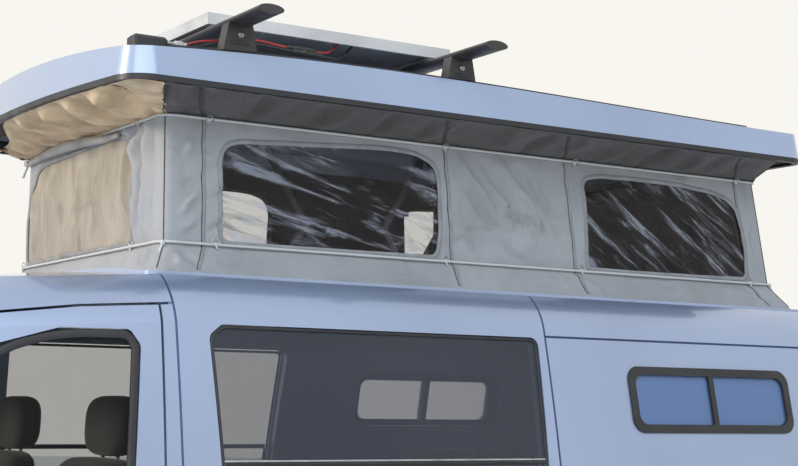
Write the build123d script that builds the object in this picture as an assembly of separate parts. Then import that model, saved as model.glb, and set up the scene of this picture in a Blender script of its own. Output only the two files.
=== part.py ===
from build123d import *
import os
from math import asin, cos, degrees, radians, sqrt, tan

# Camper van with a raised pop-top roof. Millimetres, +Z up, the van's front towards -Y and its
# left side at +X. The origin is on the ground, below the middle of the van. Lengthwise places are
# given as distances behind the front axle.

# Overall size
overall_length = 5140
overall_width = 1928
wheelbase = 3200
front_overhang = 895

# Fits
panel_gap = 7
seat_gap = 0.3
pivot_clearance = 0.1
soft_gap = 0.4

# Body shell
wall = 50
door_skin = 14
door_step = 14
glass_thickness = 6
glass_recess = 4
sill_bottom = 230
sill_top = 330
sill_half_width = 905
flank_foot_z = 480
flank_foot_x = 950
waist_x = 930
waist_z = 1100
gutter_x = 814
gutter_z = 1716
roof_edge_x = 700
roof_edge_z = 1850
crown_z = 1890
roof_drop_start = 3900
roof_drop = 45
window_bulge = 7
shoulder_bulge = 16
nose_bow = 130
nose_corner_radius = 260
tail_bow = 30
tail_corner_radius = 140
profile_fillet = 70

# Body sections ahead of the cab door's rear edge: distance behind the front axle, then the half
# width and height of the waist, the gutter and the roof's edge, and the height of the crown
nose_sections = [
    (-front_overhang, 900, 650, 880, 770, 740, 840, 866),
    (-640, 925, 850, 900, 930, 780, 1005, 1040),
    (-60, 932, 1030, 905, 1090, 800, 1160, 1205),
    (760, 931, 1095, 827, 1654, 704, 1778, 1816),
    (925, waist_x, waist_z, 821, 1684, 702, 1816, 1854),
]
# Side view of the nose and the tail: distance from the foremost or rearmost point, and height
nose_profile = [(45, sill_bottom), (0, 430), (6, 640), (40, 820), (130, 905), (300, 1090)]
tail_profile = [(128, 1900), (105, 1760), (0, 980), (0, 420), (30, sill_bottom)]

# Side view of the panels: distances behind the front axle and heights
pillar_foot = (345, 1150)
pillar_head = (850, 1702)
door_front = 345
door_front_z = 600
door_rear_low = 1348
door_rear_z = 1342
door_rear_top = (1362, 1763)
door_low_front = 430
door_low_z = 440
door_top = [(925, 1722), (1138, 1748)]
pillar_width = 35
seam_front = 1403
seam_front_low = 1396
seam_rear = 2622
seam_rear_roof = 2651
side_panel_inner = 690
ditch_z = 1718
hood_side_front = (-870, 812)
hood_side_rear = (-20, 1112)
hood_lip = 12
hood_rear = -30

# Windscreen: its ends, and the corners of its front view
windscreen_foot = 10
windscreen_head = 725
screen_view = [(740, 1100), (600, 1800)]

# Bumpers, lamps and grille
bumper_top = 560
front_bumper_rear = -400
rear_bumper_front = 3610
rear_bumper_top = 540
intake_half_width = 420
intake_low = 330
intake_high = 450
lamp_inner_x = 430
lamp_rear = -560
lamp_low = 640
grille_half_width = 400
grille_rear = -700
grille_border = 30
grille_slots = [600, 640, 680, 720, 760]
grille_slot_height = 20
tow_socket_x = -560
tow_socket_z = 400
tow_socket_radius = 10
tow_socket_depth = 200
tail_lamp_depth = 150
tail_lamp_low = 850
tail_lamp_high = 1400

# Tailgate with its window and the recess for a number plate
tailgate_depth = 130
tailgate_half_width = 770
tailgate_top = 1815
rear_window_half_width = 600
rear_window_low = 1130
rear_window_high = 1640
rear_window_corner = 60
plate_half_width = 270
plate_low = 830
plate_height = 130
plate_depth = 8

# Door furniture: heights and inner and outer faces of the hinge pads, grips, slide rail
pad_heights = [690, 950]
pad_height = 60
pad_inner_x = 900
pad_outer_x = 925
pad_root = 12
grip_length = 180
grip_height = 34
grip_z = 1010
grip_inner_x = 925
grip_outer_x = 966
grip_corner = 12
grip_setback = 60
slide_rail_low = 1084
slide_rail_height = 26
slide_rail_rear = 3560
buffer_places = [-480, -160]
buffer_length = 40
buffer_root = 10
tail_buffer_x = 410

# Wheels and wheel arches
wheel_radius = 339.5
tyre_width = 225
rim_radius = 216
arch_radius = 395
arch_lip = 12
tub_radius = 452
tub_wall = 10
tub_inner_x = 480
rear_tub_inner_x = 640
front_track = 1666
rear_track = 1646

# Floor
floor_top = 545
floor_thickness = 40
floor_front = 260
floor_rear = 4055
floor_half_width = 896
bulkhead_thickness = 12
bulkhead_top = 1080
rail_x = 410
rail_width = 60
rail_height = 90
strut_tower_half = 200

# Windows in the side walls, as side views
slider_low = 1170
slider_front_low = 1513
slider_corner_point = (1494, 1683)
slider_front_high = (1534, 1714)
slider_rear_high = 2593
slider_rear_low = 2573
slider_corner = 28
rv_front = 2925
rv_rear = 3616
rv_low = 1430
rv_high = 1637
rv_corner = 45
rv_frame_width = 26
rv_frame_proud = 6
rv_frame_depth = 30
rv_bar = 20
door_window = [(470, 1180), (905, 1640), (1080, 1689), (1269, 1691), (1297, 1650), (1250, 1180)]
door_window_corner = 22

# Pop-top roof, raised
shell_half_width = 757
shell_front = 1276
shell_rear = 3815
shell_low = 2367
shell_wall = 22
shell_lean_angle = 9
shell_bow = 70
shell_front_corner = 90
shell_rear_corner = 60
shell_side_height = 190
shell_eaves = 20
seal_height = 16
liner_thickness = 5
liner_overlap = 30
# Top of the shell: distance behind the front axle, height at the side edge and at the crown
shell_top = [
    (1200, 2448, 2496),
    (2050, 2484, 2532),
    (3000, 2476, 2524),
    (3880, 2466, 2514),
]

# Tent: height, half width, front and rear of each ring, from the base up
tent_rings = [
    (1840, 668, 1391, 3880),
    (1946, 573, 1460, 3828),
    (2322, 560, 1460, 3764),
    (2376, 722, 1306, 3700),
]
tent_wall = 4
tent_corner = 40
cord_radius = 4
# Elastic cords: the ring each one lies beside, how far above it, and how far off the canvas
cord_levels = [(1, 7, 0.5), (2, -7, 1.8)]
flange_thickness = 8
flange_overlap = 18
flange_width = 70

# Roof hatch below the tent
hatch_half_width = 480
hatch_front = 1570
hatch_rear = 3590

# Lifting frames: each folds between the roof and the shell, on both sides of the hatch
arm_length = 320
arm_rise = 544
arm_width = 24
arm_thickness = 10
arm_x = 500
arm_spacing = 3
pin_radius = 6
journal_radius = 10
lift_base_z = 1906
lift_front = 2350
lift_rear = 3030
ear_thickness = 10
ear_spacing = 7
ear_width = 44
ear_length = 60

# Roof equipment
track_x = 670
track_width = 34
track_height = 12
track_front = 1420
track_rear = 3600
bar_places = [1632, 2393]
bar_z = 2579
bar_half_length = 875
bar_depth = 80
bar_height = 28
foot_length = 110
foot_head = 74
foot_width = 44
panel_front = 1600
panel_rear = 2450
panel_half_width = 540
panel_z = 2600
panel_height = 35
panel_lip = 12
panel_sheet = 5
clamp_size = 30
entry_x = 600
entry_width = 60
entry_front = 1335
entry_rear = 1440
entry_top = 2520
entry_corner = 12
entry_chamfer = 8
# Solar leads: half width from the van's middle, distance behind the front axle and height
lead_radius = 3.5
lead_bend = 50
lead_routes = [
    ("red", [
        (594, entry_rear + soft_gap, 2500), (594, 1482, 2500), (588, 1545, 2532), (580, 1640, 2546),
        (572, 1745, 2566),
        (566, 1830, 2557), (560, 1965, 2557), (505, 2030, 2574), (478, 2085, 2626),
    ]),
    ("black", [
        (606, entry_rear + soft_gap, 2496), (608, 1485, 2496), (606, 1560, 2516), (598, 1640, 2535),
        (590, 1740, 2548),
        (584, 1850, 2543), (576, 1985, 2541), (512, 2060, 2556), (470, 2140, 2626),
    ]),
]

# Wheels
tyre_wall = 11
tyre_bead = 14
rim_half = 92
rim_flange = 8
rim_lip = 6
rim_gauge = 8
rim_well = 22
rim_well_half = 30
rim_well_x = 10
rim_face = 50
hub_radius = 72
hub_depth = 32
spoke_count = 5
spoke_root = 52
spoke_tip = 32
spoke_depth = 26
spoke_setback = 8

# Front axle
spindle_radius = 32
spindle_stub = 4
ball_radius = 14
ball_z = 215
ball_inset = 108
stem_radius = 8
stem_length = 40
upright_low = 238
upright_high = 440
upright_half = 45
upright_inner = 22
upright_outer = 14
kingpin_slope = 0.168
strut_radius = 24
strut_start = 180
spring_radius = 46
spring_length = 140
spring_seat = 20
strut_top_gap = 11
sub_half_width = 360
sub_reach = 230
sub_beam = 70
sub_low = 250
sub_top = 320
arm_foot_x = 340
arm_foot_front = -120
arm_foot_rear = 190
arm_tip_half = 26
arm_plate = 20
ball_cup_radius = 27
ball_cup_height = 26
bush_low_x = 300
bush_high_x = 356
tower_inner_x = 350
tower_outer_x = 400
mount_inner_x = 250
mount_outer_x = 310
mount_front = -215
mount_rear = -165

# Engine
engine_low = 334
engine_high = 820
engine_right = -330
engine_left = 300
engine_front = -520
engine_rear = -60
engine_chamfer = 30
cover_inset = 50
cover_height = 50
cover_ribs = 6
cover_rib_width = 18
cover_rib_height = 10

# Rear axle
rear_arm_x = 600
beam_radius = 38
beam_ahead = 60
beam_drop = 30
trailing_width = 70
trailing_depth = 90
trailing_reach = 520
trailing_pivot_drop = 70
bracket_half_width = 45
bracket_half_length = 50
bracket_height = 120
coil_radius = 48
coil_ahead = 200
coil_low = 330

# Fuel tank and exhaust
tank_right = -375
tank_left = -20
tank_front = 760
tank_rear = 1480
tank_low = 290
tank_corner = 30
pipe_radius = 26
pipe_bend = 60
pipe_x = 200
pipe_shift = 20
# Exhaust pipe behind the engine: distance behind the front axle, sideways shift and height
pipe_route = [
    (engine_rear + seat_gap, 0, 400), (60, 0, 400), (330, 0, 440), (1900, 0, 440),
    (3000, pipe_shift, 450), (4185, pipe_shift, 430),
]
silencer_radius = 85
silencer_length = 620
silencer_place = 1900
silencer_z = 400
hanger_places = [1650, 2150, 3900]
hanger_width = 12
hanger_length = 30

# Cab seats: outlines relative to the seat's place
seat_x = 400
seat_place = 1290
seat_half_width = 250
seat_base_half = 200
seat_base_front = -430
seat_base_rear = -30
seat_pad_front = -480
seat_pad_rear = 30
seat_pad_low = 740
seat_pad_high = 890
seat_corner = 45
seat_base_top = 760
seat_back_half = 240
seat_back_view = [(-60, 850), (60, 830), (160, 1330), (60, 1350)]
seat_back_corner = 30
head_half_width = 135
head_front = 60
head_rear = 165
head_low = 1350
head_high = 1524
head_corner = 40
head_post_x = 55
head_post_radius = 7
head_post_low = 1300

# Rear bench: outlines relative to the bench's place
bench_place = 3000
bench_half_width = 570
bench_base_front = -450
bench_pad_front = -500
bench_pad_rear = 40
bench_back_view = [(-60, 860), (60, 840), (150, 1340), (50, 1360)]

# Dashboard and steering wheel
dash_half_width = 840
# Side view of the dashboard behind the bulkhead: distances behind the front axle and heights
dash_low = 800
dash_foot_top = 1085
dash_view = [(420, 1120), (620, 1075), (640, 1000), (560, dash_low)]
dash_corner = 25
steering_place = 670
steering_z = 1065
steering_radius = 185
steering_grip = 15
steering_hub_radius = 60
steering_hub_depth = 40
steering_spokes = 3
steering_spoke_width = 36
steering_spoke_depth = 14
column_radius = 28
column_length = 150
column_direction = (0, 0.9, 0.45)

# Door mirrors
mirror_front = 490
mirror_rear = 590
mirror_low = 1120
mirror_high = 1340
mirror_inset = 10
mirror_reach = 176
mirror_corner = 28
mirror_arm_front = 530
mirror_arm_rear = 580
mirror_arm_low = 1150
mirror_arm_high = 1200
mirror_foot_x = 890
mirror_arm_reach = 20

os.makedirs("parts", exist_ok=True)

# Values that follow from the sizes above
half_width = overall_width / 2
reach = half_width + wall
half_gap = panel_gap / 2
front_axle_y = front_overhang - overall_length / 2
rear_axle_y = front_axle_y + wheelbase
tail = overall_length - front_overhang
flank_bulge = half_width - (flank_foot_x + waist_x) / 2
lamp_high = hood_side_front[1] - hood_lip - panel_gap
seam_low = sill_bottom - wall
body_top = crown_z + wall
body_sections = [
    *nose_sections,
    (seam_front, waist_x, waist_z, gutter_x, gutter_z, roof_edge_x, roof_edge_z, crown_z),
    (roof_drop_start, waist_x, waist_z, gutter_x, gutter_z, roof_edge_x, roof_edge_z, crown_z),
    (
        tail, waist_x, waist_z, gutter_x, gutter_z - roof_drop, roof_edge_x, roof_edge_z - roof_drop,
        crown_z - roof_drop,
    ),
]


def aft(distance):
    """Y of a place given by its distance behind the front axle."""
    return front_axle_y + distance


def save(name, shape):
    export_step(shape, "parts/" + name + ".step")


def box(x_low, x_high, y_low, y_high, z_low, z_high):
    centre = ((x_low + x_high) / 2, (y_low + y_high) / 2, (z_low + z_high) / 2)
    return Pos(*centre) * Box(x_high - x_low, y_high - y_low, z_high - z_low)


def block(limits, grow):
    """Box from x, distance and z limits, grown on all sides."""
    x_low, x_high, front, rear, z_low, z_high = limits
    return box(
        x_low - grow, x_high + grow, aft(front) - grow, aft(rear) + grow, z_low - grow, z_high + grow
    )


def one(shape):
    """The largest solid of a cut, without slivers."""
    return max(shape.solids(), key=lambda solid: solid.volume)


def both_sides(shape):
    return Compound(children=[shape, mirror(shape, Plane.YZ)])


def sided(side, near, far):
    """X limits, low one first, of a span on the left or the right side."""
    return sorted((side * near, side * far))


def bulged(start, end, bulge):
    """Arc between two points of a section, bulging to the right of the way from start to end."""
    run = (end[0] - start[0], end[1] - start[1])
    length = sqrt(run[0] ** 2 + run[1] ** 2)
    middle = (
        (start[0] + end[0]) / 2 + run[1] / length * bulge,
        (start[1] + end[1]) / 2 - run[0] / length * bulge,
    )
    return ThreePointArc(start, middle, end)


def body_section(row, inset, low):
    """Closed cross-section of the body, inset from the outer skin."""
    place, belt_x, belt_z, gut_x, gut_z, edge_x, edge_z, top_z = row
    nearer = inset if place < seam_front else 0
    nearer = -inset if place >= roof_drop_start else nearer
    points = [
        (sill_half_width - inset, low),
        (flank_foot_x - inset, flank_foot_z),
        (belt_x - inset, belt_z),
        (gut_x - inset, gut_z - inset / 3),
        (edge_x - inset / 2, edge_z - inset),
    ]
    arcs = [
        Line(points[0], points[1]),
        bulged(points[1], points[2], flank_bulge),
        bulged(points[2], points[3], window_bulge),
        bulged(points[3], points[4], shoulder_bulge),
    ]
    crown = ThreePointArc(points[4], (0, top_z - inset), (-points[4][0], points[4][1]))
    left = [mirror(arc, Plane.YZ) for arc in arcs]
    floor_line = Line((-points[0][0], low), points[0])
    face = make_face(Curve() + arcs + [crown] + left + [floor_line])
    return Plane.XZ.offset(-(aft(place) + nearer)) * face


def body_plan():
    """Plan view of the body, bowed at both ends, with rounded corners."""
    front = aft(-front_overhang)
    rear = aft(tail)
    plan = make_face(
        Curve()
        + [
            ThreePointArc((-half_width, front + nose_bow), (0, front), (half_width, front + nose_bow)),
            Line((half_width, front + nose_bow), (half_width, rear - tail_bow)),
            ThreePointArc((half_width, rear - tail_bow), (0, rear), (-half_width, rear - tail_bow)),
            Line((-half_width, rear - tail_bow), (-half_width, front + nose_bow)),
        ]
    )
    plan = fillet(plan.vertices().group_by(Axis.Y)[0], nose_corner_radius)
    return fillet(plan.vertices().group_by(Axis.Y)[-1], tail_corner_radius)


def body_solid(inset, low):
    """The whole body as one closed form, with its skin inset."""
    hull = loft([body_section(row, inset, low) for row in body_sections], ruled=True)
    plan = body_plan()
    plan = offset(plan, -inset) if inset else plan
    nose = [(aft(setback - front_overhang), height) for setback, height in nose_profile]
    back = [(aft(tail - setback), height) for setback, height in tail_profile]
    below = low - wall
    outline = [(nose[0][0], below), *nose, (nose[-1][0], body_top), (back[0][0], body_top), *back]
    side_view = make_face(Polyline(*outline, (back[-1][0], below), close=True))
    rounded = [
        corner for corner in side_view.vertices() if flank_foot_z - wall <= corner.Y <= gutter_z + wall
    ]
    side_view = fillet(rounded, profile_fillet)
    side_view = offset(side_view, -inset, kind=Kind.INTERSECTION) if inset else side_view
    side_block = extrude(Plane.YZ.offset(-half_width) * side_view, overall_width)
    return one(hull & extrude(plan, body_top) & side_block)


def side_prism(points, grow, x_low, x_high, corner=0):
    """Block that cuts a side view's outline, widened or narrowed, out of the walls."""
    face = make_face(Polyline(*[(aft(place), height) for place, height in points], close=True))
    if grow:
        face = offset(face, grow, kind=Kind.INTERSECTION)
    if corner:
        face = fillet(face.vertices(), corner)
    return extrude(Plane.YZ.offset(x_low) * face, x_high - x_low)


def across(outline, grow):
    return side_prism(outline, grow, -reach, reach)


def wheel_cylinder(place_y, radius, x_low, x_high):
    centre = ((x_low + x_high) / 2, place_y, wheel_radius)
    return Pos(*centre) * Rot(0, 90, 0) * Cylinder(radius, x_high - x_low)


# The body's wall: an outer skin and the core below it, and the band that the glass lies in
outer = body_solid(0, sill_bottom)
middle = body_solid(door_skin, seam_low)
inner = body_solid(wall, seam_low)
hull_skin = outer - middle
core = middle - inner
core = core & box(-reach, reach, -overall_length, overall_length, sill_bottom, body_top)
glass_band = body_solid(glass_recess, sill_bottom) - body_solid(glass_recess + glass_thickness, seam_low)
for axle in (front_axle_y, rear_axle_y):
    for side in (-1, 1):
        low, high = sided(side, tub_inner_x, reach)
        hull_skin = hull_skin - wheel_cylinder(axle, arch_radius, low, high)
        core = core - wheel_cylinder(axle, arch_radius + arch_lip, low, high)

# Outlines of the panels as side views
roof_outline = [
    (windscreen_head, pillar_head[1] - 20),
    pillar_head,
    *door_top,
    door_rear_top,
    (seam_front, door_rear_top[1] + half_gap),
    (seam_rear, ditch_z),
    (tail + wall, ditch_z),
    (tail + wall, body_top),
    (windscreen_head, body_top),
]
door_outline = [
    pillar_foot,
    (door_front, door_front_z),
    (door_low_front, door_low_z),
    (door_low_front, sill_top),
    (door_rear_low, sill_top),
    (door_rear_low, door_rear_z),
    door_rear_top,
    door_top[1],
    door_top[0],
    pillar_head,
]
side_outline = [
    (seam_front_low, sill_top),
    (seam_front_low, door_rear_z),
    (seam_front, crown_z),
    (seam_rear_roof, crown_z),
    (seam_rear, ditch_z),
    (seam_rear, sill_top),
]
quarter_outline = [
    (seam_rear, seam_low),
    (seam_rear, ditch_z),
    (tail + wall, ditch_z),
    (tail + wall, seam_low),
]
hood_outline = [
    (-front_overhang - wall, hood_side_front[1] - hood_lip),
    hood_side_front,
    hood_side_rear,
    (hood_rear, crown_z),
    (-front_overhang - wall, crown_z),
]
wing_outline = [
    (-front_overhang - wall, seam_low),
    (-front_overhang - wall, hood_side_front[1] - hood_lip),
    hood_side_front,
    hood_side_rear,
    (door_front - pillar_width, hood_side_rear[1] + 20),
    (door_front - pillar_width, door_front_z),
    (door_low_front - pillar_width, door_low_z),
    (door_low_front - pillar_width, seam_low),
]


def panel(outline, x_low, x_high, fitted=()):
    """Wall panel with a gap around its skin that meets its fixed neighbours in the core."""
    skin_part = hull_skin & side_prism(outline, -half_gap, x_low, x_high)
    core_part = core & side_prism(outline, 0, x_low, x_high)
    for limits in fitted:
        skin_part = skin_part - block(limits, panel_gap)
        core_part = core_part - block(limits, 0)
    return skin_part + core_part


def fitted_piece(limits):
    """Piece of the wall, skin and core, within a box."""
    piece = block(limits, 0)
    return one((hull_skin & piece) + (core & piece))


hood_room = across(hood_outline, half_gap)
door_room = across(door_outline, half_gap)
foremost = -front_overhang - wall
rearmost = tail + wall

# Front bumper, lamps and grille
bumper_limits = (-reach, reach, foremost, front_bumper_rear, 0, bumper_top)
lamp_limits = (lamp_inner_x, reach, foremost, lamp_rear, lamp_low, lamp_high)
grille_limits = (-grille_half_width, grille_half_width, foremost, grille_rear, bumper_top, lamp_high)
intake_limits = (-intake_half_width, intake_half_width, foremost, grille_rear, intake_low, intake_high)
front_bumper = fitted_piece(bumper_limits) - block(intake_limits, 0)
socket_bore = Rot(90, 0, 0) * Cylinder(tow_socket_radius, 2 * tow_socket_depth)
front_bumper = front_bumper - Pos(tow_socket_x, aft(-front_overhang), tow_socket_z) * socket_bore
save("front_bumper", one(front_bumper))
save("headlamps", both_sides(fitted_piece(lamp_limits)))
grille = fitted_piece(grille_limits)
slot_half = grille_half_width - grille_border
for slot_z in grille_slots:
    slot_limits = (-slot_half, slot_half, foremost, grille_rear, slot_z, slot_z + grille_slot_height)
    grille = grille - block(slot_limits, 0)
save("grille", one(grille))


def hood_seam(place):
    """Height of the seam between wing and hood at a place."""
    share = (place - hood_side_front[0]) / (hood_side_rear[0] - hood_side_front[0])
    return hood_side_front[1] + share * (hood_side_rear[1] - hood_side_front[1])


# Front wings with the rubber buffers that the hood's sides rest on
centre_limits = (-grille_half_width, grille_half_width, foremost, 0, 0, crown_z)
wing = panel(wing_outline, 0, reach, [bumper_limits, lamp_limits, centre_limits])
wing = one(wing - hood_room - door_room)
hood_slope = (hood_side_rear[1] - hood_side_front[1]) / (hood_side_rear[0] - hood_side_front[0])
buffer_rise = (half_gap - seat_gap) * sqrt(1 + hood_slope ** 2)
for place in buffer_places:
    ends = (place, place + buffer_length)
    buffer_view = [(end, hood_seam(end) - buffer_root) for end in ends]
    buffer_view += [(end, hood_seam(end) + buffer_rise) for end in reversed(ends)]
    wing = wing + (core & side_prism(buffer_view, 0, 0, reach))
save("front_wings", both_sides(one(wing)))

# Hood
hood_prism = across(hood_outline, -half_gap)
save("hood", one((hull_skin & hood_prism) + (core & hood_prism)))

# Front doors, stepped inwards below the outer skin, with their grips
window_cut = side_prism(door_window, 0, 0, reach, door_window_corner)
door = hull_skin & side_prism(door_outline, -half_gap, 0, reach)
door = door + (core & side_prism(door_outline, -half_gap - door_step, 0, reach))
door = one(door - window_cut)
grip_rear = aft(door_rear_low - grip_setback)
grip = box(
    grip_inner_x, grip_outer_x, grip_rear - grip_length, grip_rear,
    grip_z - grip_height / 2, grip_z + grip_height / 2,
)
grip = fillet(grip.edges(), grip_corner)
door = one(door + grip)
door_glass = one(glass_band & side_prism(door_window, -seat_gap, 0, reach, door_window_corner))
save("front_door_left", door)
save("front_door_right", mirror(door, Plane.YZ))
save("door_glass_left", door_glass)
save("door_glass_right", mirror(door_glass, Plane.YZ))

# Side panel on the left, sliding door with its grip on the right
slider_window = [
    (slider_front_low, slider_low), slider_corner_point, slider_front_high,
    (slider_rear_high, slider_front_high[1]), (slider_rear_low, slider_low),
]
side_window_cut = side_prism(slider_window, 0, 0, reach, slider_corner)
side_panel = panel(side_outline, side_panel_inner, reach) - side_window_cut - door_room
side_panel = one(side_panel)
save("side_panel_left", side_panel)
slide_grip = Pos(0, seam_front_low + 2 * grip_setback + grip_length - door_rear_low, 0) * grip
save("sliding_door_right", mirror(one(side_panel + slide_grip), Plane.YZ))

# Quarter panels with their caravan windows, and the sliding door's rail on the right
tail_lamp_limits = (
    tailgate_half_width + panel_gap, reach, tail - tail_lamp_depth, rearmost, tail_lamp_low, tail_lamp_high
)
rear_bumper_limits = (-reach, reach, rear_bumper_front, rearmost, 0, rear_bumper_top)
tailgate_limits = (
    -tailgate_half_width, tailgate_half_width, tail - tailgate_depth, rearmost,
    rear_bumper_top + panel_gap, tailgate_top,
)
rv_outline = [(rv_front, rv_low), (rv_rear, rv_low), (rv_rear, rv_high), (rv_front, rv_high)]
rv_cut = side_prism(rv_outline, 0, 0, reach, rv_corner)
tailgate_room = block(tailgate_limits, panel_gap)
quarter = panel(quarter_outline, 0, reach, [rear_bumper_limits, tail_lamp_limits])
quarter = one(quarter - rv_cut - tailgate_room)
slide_view = [
    (seam_rear, slide_rail_low), (slide_rail_rear, slide_rail_low),
    (slide_rail_rear, slide_rail_low + slide_rail_height), (seam_rear, slide_rail_low + slide_rail_height),
]
slide_rail = side_prism(slide_view, 0, -reach, 0) - middle
save("quarter_panels", Compound(children=[quarter, one(mirror(quarter, Plane.YZ) - slide_rail)]))
save("tail_lamps", both_sides(fitted_piece(tail_lamp_limits)))

# Rear bumper with the buffers below the tailgate
rear_bumper = fitted_piece(rear_bumper_limits)
for side in (-1, 1):
    low, high = sided(side, tail_buffer_x, tail_buffer_x + buffer_length)
    buffer_limits = (
        low, high, tail - tailgate_depth, rearmost,
        rear_bumper_top - buffer_root, rear_bumper_top + panel_gap - seat_gap,
    )
    rear_bumper = rear_bumper + (core & block(buffer_limits, 0))
save("rear_bumper", one(rear_bumper))

# Tailgate with its window and plate recess
rear_window = box(
    -rear_window_half_width, rear_window_half_width, aft(tail - tailgate_depth), aft(rearmost),
    rear_window_low, rear_window_high,
)
rear_window = fillet(rear_window.edges().filter_by(Axis.Y), rear_window_corner)
plate_recess = box(
    -plate_half_width, plate_half_width, aft(tail - plate_depth), aft(rearmost),
    plate_low, plate_low + plate_height,
)
save("tailgate", one(fitted_piece(tailgate_limits) - rear_window - plate_recess))
save("tailgate_glass", one(glass_band & rear_window))

# Fixed side glass and the caravan windows' frames
rv_middle = (rv_front + rv_rear) / 2
rv_inner = [
    (rv_front + rv_frame_width, rv_low + rv_frame_width),
    (rv_rear - rv_frame_width, rv_low + rv_frame_width),
    (rv_rear - rv_frame_width, rv_high - rv_frame_width),
    (rv_front + rv_frame_width, rv_high - rv_frame_width),
]
rv_inner_corner = rv_corner - rv_frame_width / 2
rv_frame_band = body_solid(-rv_frame_proud, sill_bottom) - body_solid(rv_frame_depth, seam_low)
rv_frame = rv_frame_band & side_prism(rv_outline, -seat_gap, 0, reach, rv_corner)
rv_bar_limits = (0, reach, rv_middle - rv_bar / 2, rv_middle + rv_bar / 2, rv_low, rv_high)
rv_hole = side_prism(rv_inner, 0, 0, reach, rv_inner_corner)
rv_ring = one(rv_frame - (rv_hole - block(rv_bar_limits, 0)))
save("rv_window_frames", both_sides(rv_ring))
rv_glass = glass_band & side_prism(rv_inner, -seat_gap, 0, reach, rv_inner_corner)
rv_glass = rv_glass - block(rv_bar_limits, seat_gap)
slider_glass = one(glass_band & side_prism(slider_window, -seat_gap, 0, reach, slider_corner))
save("side_glass", both_sides(Compound(children=[slider_glass, *rv_glass.solids()])))

# Roof panel with the hatch below the tent
roof_skin = hull_skin & across(roof_outline, -half_gap)
roof_core = core & across(roof_outline, 0)
for side in (-1, 1):
    low, high = sided(side, side_panel_inner - panel_gap, reach)
    roof_skin = roof_skin - side_prism(side_outline, half_gap, low, high)
    low, high = sided(side, side_panel_inner, reach)
    roof_core = roof_core - side_prism(side_outline, 0, low, high)
hatch = block((-hatch_half_width, hatch_half_width, hatch_front, hatch_rear, gutter_z, body_top), 0)
hatch = fillet(hatch.edges().filter_by(Axis.Z), tent_corner)
save("roof_panel", one(roof_skin + roof_core - hatch - tailgate_room - door_room))

# Windscreen
screen_points = [*screen_view, *[(-x, z) for x, z in reversed(screen_view)]]
screen_face = make_face(Polyline(*screen_points, close=True))
screen_block = extrude(
    Plane.XZ.offset(-aft(windscreen_head + wall)) * screen_face, windscreen_head - windscreen_foot + 2 * wall
)
screen_low = screen_view[0][1]
screen_side = [
    (windscreen_foot, screen_low), (windscreen_foot, crown_z), (windscreen_head, crown_z),
    (windscreen_head, screen_low),
]
windscreen = one(glass_band & screen_block & across(screen_side, -half_gap))
save("windscreen", windscreen)

# Frame that carries the doors: pillars, sills and windscreen frame, with the doors' hinge pads
frame_limits = (-reach, reach, hood_rear, seam_rear, sill_bottom, crown_z)
frame_skin = hull_skin & block(frame_limits, 0)
frame_core = core & block(frame_limits, 0)
for outline in (wing_outline, roof_outline, side_outline):
    frame_skin = frame_skin - across(outline, half_gap)
    frame_core = frame_core - across(outline, 0)
screen_side[2] = (windscreen_head + wall, crown_z)
screen_side[3] = (windscreen_head + wall, screen_low)
body_frame = frame_skin + frame_core - hood_room - door_room - (screen_block & across(screen_side, 0))
body_frame = one(body_frame)
for side in (-1, 1):
    low, high = sided(side, pad_inner_x, pad_outer_x)
    for pad_z in pad_heights:
        pad_limits = (
            low, high, door_front - half_gap - pad_root, door_front + half_gap + door_step - seat_gap,
            pad_z - pad_height / 2, pad_z + pad_height / 2,
        )
        body_frame = body_frame + block(pad_limits, 0)
save("body_frame", one(body_frame))

# Floor pan with rails, bulkhead and wheel housings, fitted between the walls and clear of the doors
floor_low = floor_top - floor_thickness
rail_low = floor_low - rail_height
floor_pan = block((-reach, reach, floor_front, floor_rear, floor_low, floor_top), 0)
floor_pan = floor_pan + block(
    (-reach, reach, floor_front, floor_front + bulkhead_thickness, floor_low, bulkhead_top), 0
)
for side in (-1, 1):
    low, high = sided(side, rail_x - rail_width / 2, rail_x + rail_width / 2)
    floor_pan = floor_pan + block((low, high, -front_overhang, tail, rail_low, floor_low), 0)
housings = [(front_axle_y, tub_inner_x, rail_low), (rear_axle_y, rear_tub_inner_x, floor_low)]
for axle, tub_x, housing_low in housings:
    above = box(-reach, reach, -overall_length, overall_length, housing_low, crown_z)
    for side in (-1, 1):
        low, high = sided(side, tub_x, reach)
        floor_pan = floor_pan + (wheel_cylinder(axle, tub_radius, low, high) & above)
        low, high = sided(side, tub_x + tub_wall, reach + wall)
        floor_pan = floor_pan - wheel_cylinder(axle, tub_radius - tub_wall, low, high)
for side in (-1, 1):
    low, high = sided(side, rail_x - rail_width / 2, tub_inner_x + tub_wall)
    tower_limits = (low, high, -strut_tower_half, strut_tower_half, rail_low, floor_low)
    floor_pan = floor_pan + block(tower_limits, 0)
    low, high = sided(side, floor_half_width, reach + wall)
    doorway = (low, high, door_front - panel_gap, door_rear_low + panel_gap, 0, crown_z)
    floor_pan = floor_pan - block(doorway, 0)
save("floor_pan", one(floor_pan & body_solid(wall + seat_gap, seam_low)))


def rounded_ring(half_x, front, rear, corner, height):
    """Flat rounded rectangle at a height, given its front and rear distances."""
    plan = RectangleRounded(2 * half_x, rear - front, corner)
    return Pos(0, aft((front + rear) / 2), height) * plan


def tent_solid(inset):
    rings = []
    for height, half_x, front, rear in tent_rings:
        rings.append(rounded_ring(half_x - inset, front + inset, rear - inset, tent_corner, height))
    return loft(rings, ruled=True)


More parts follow.
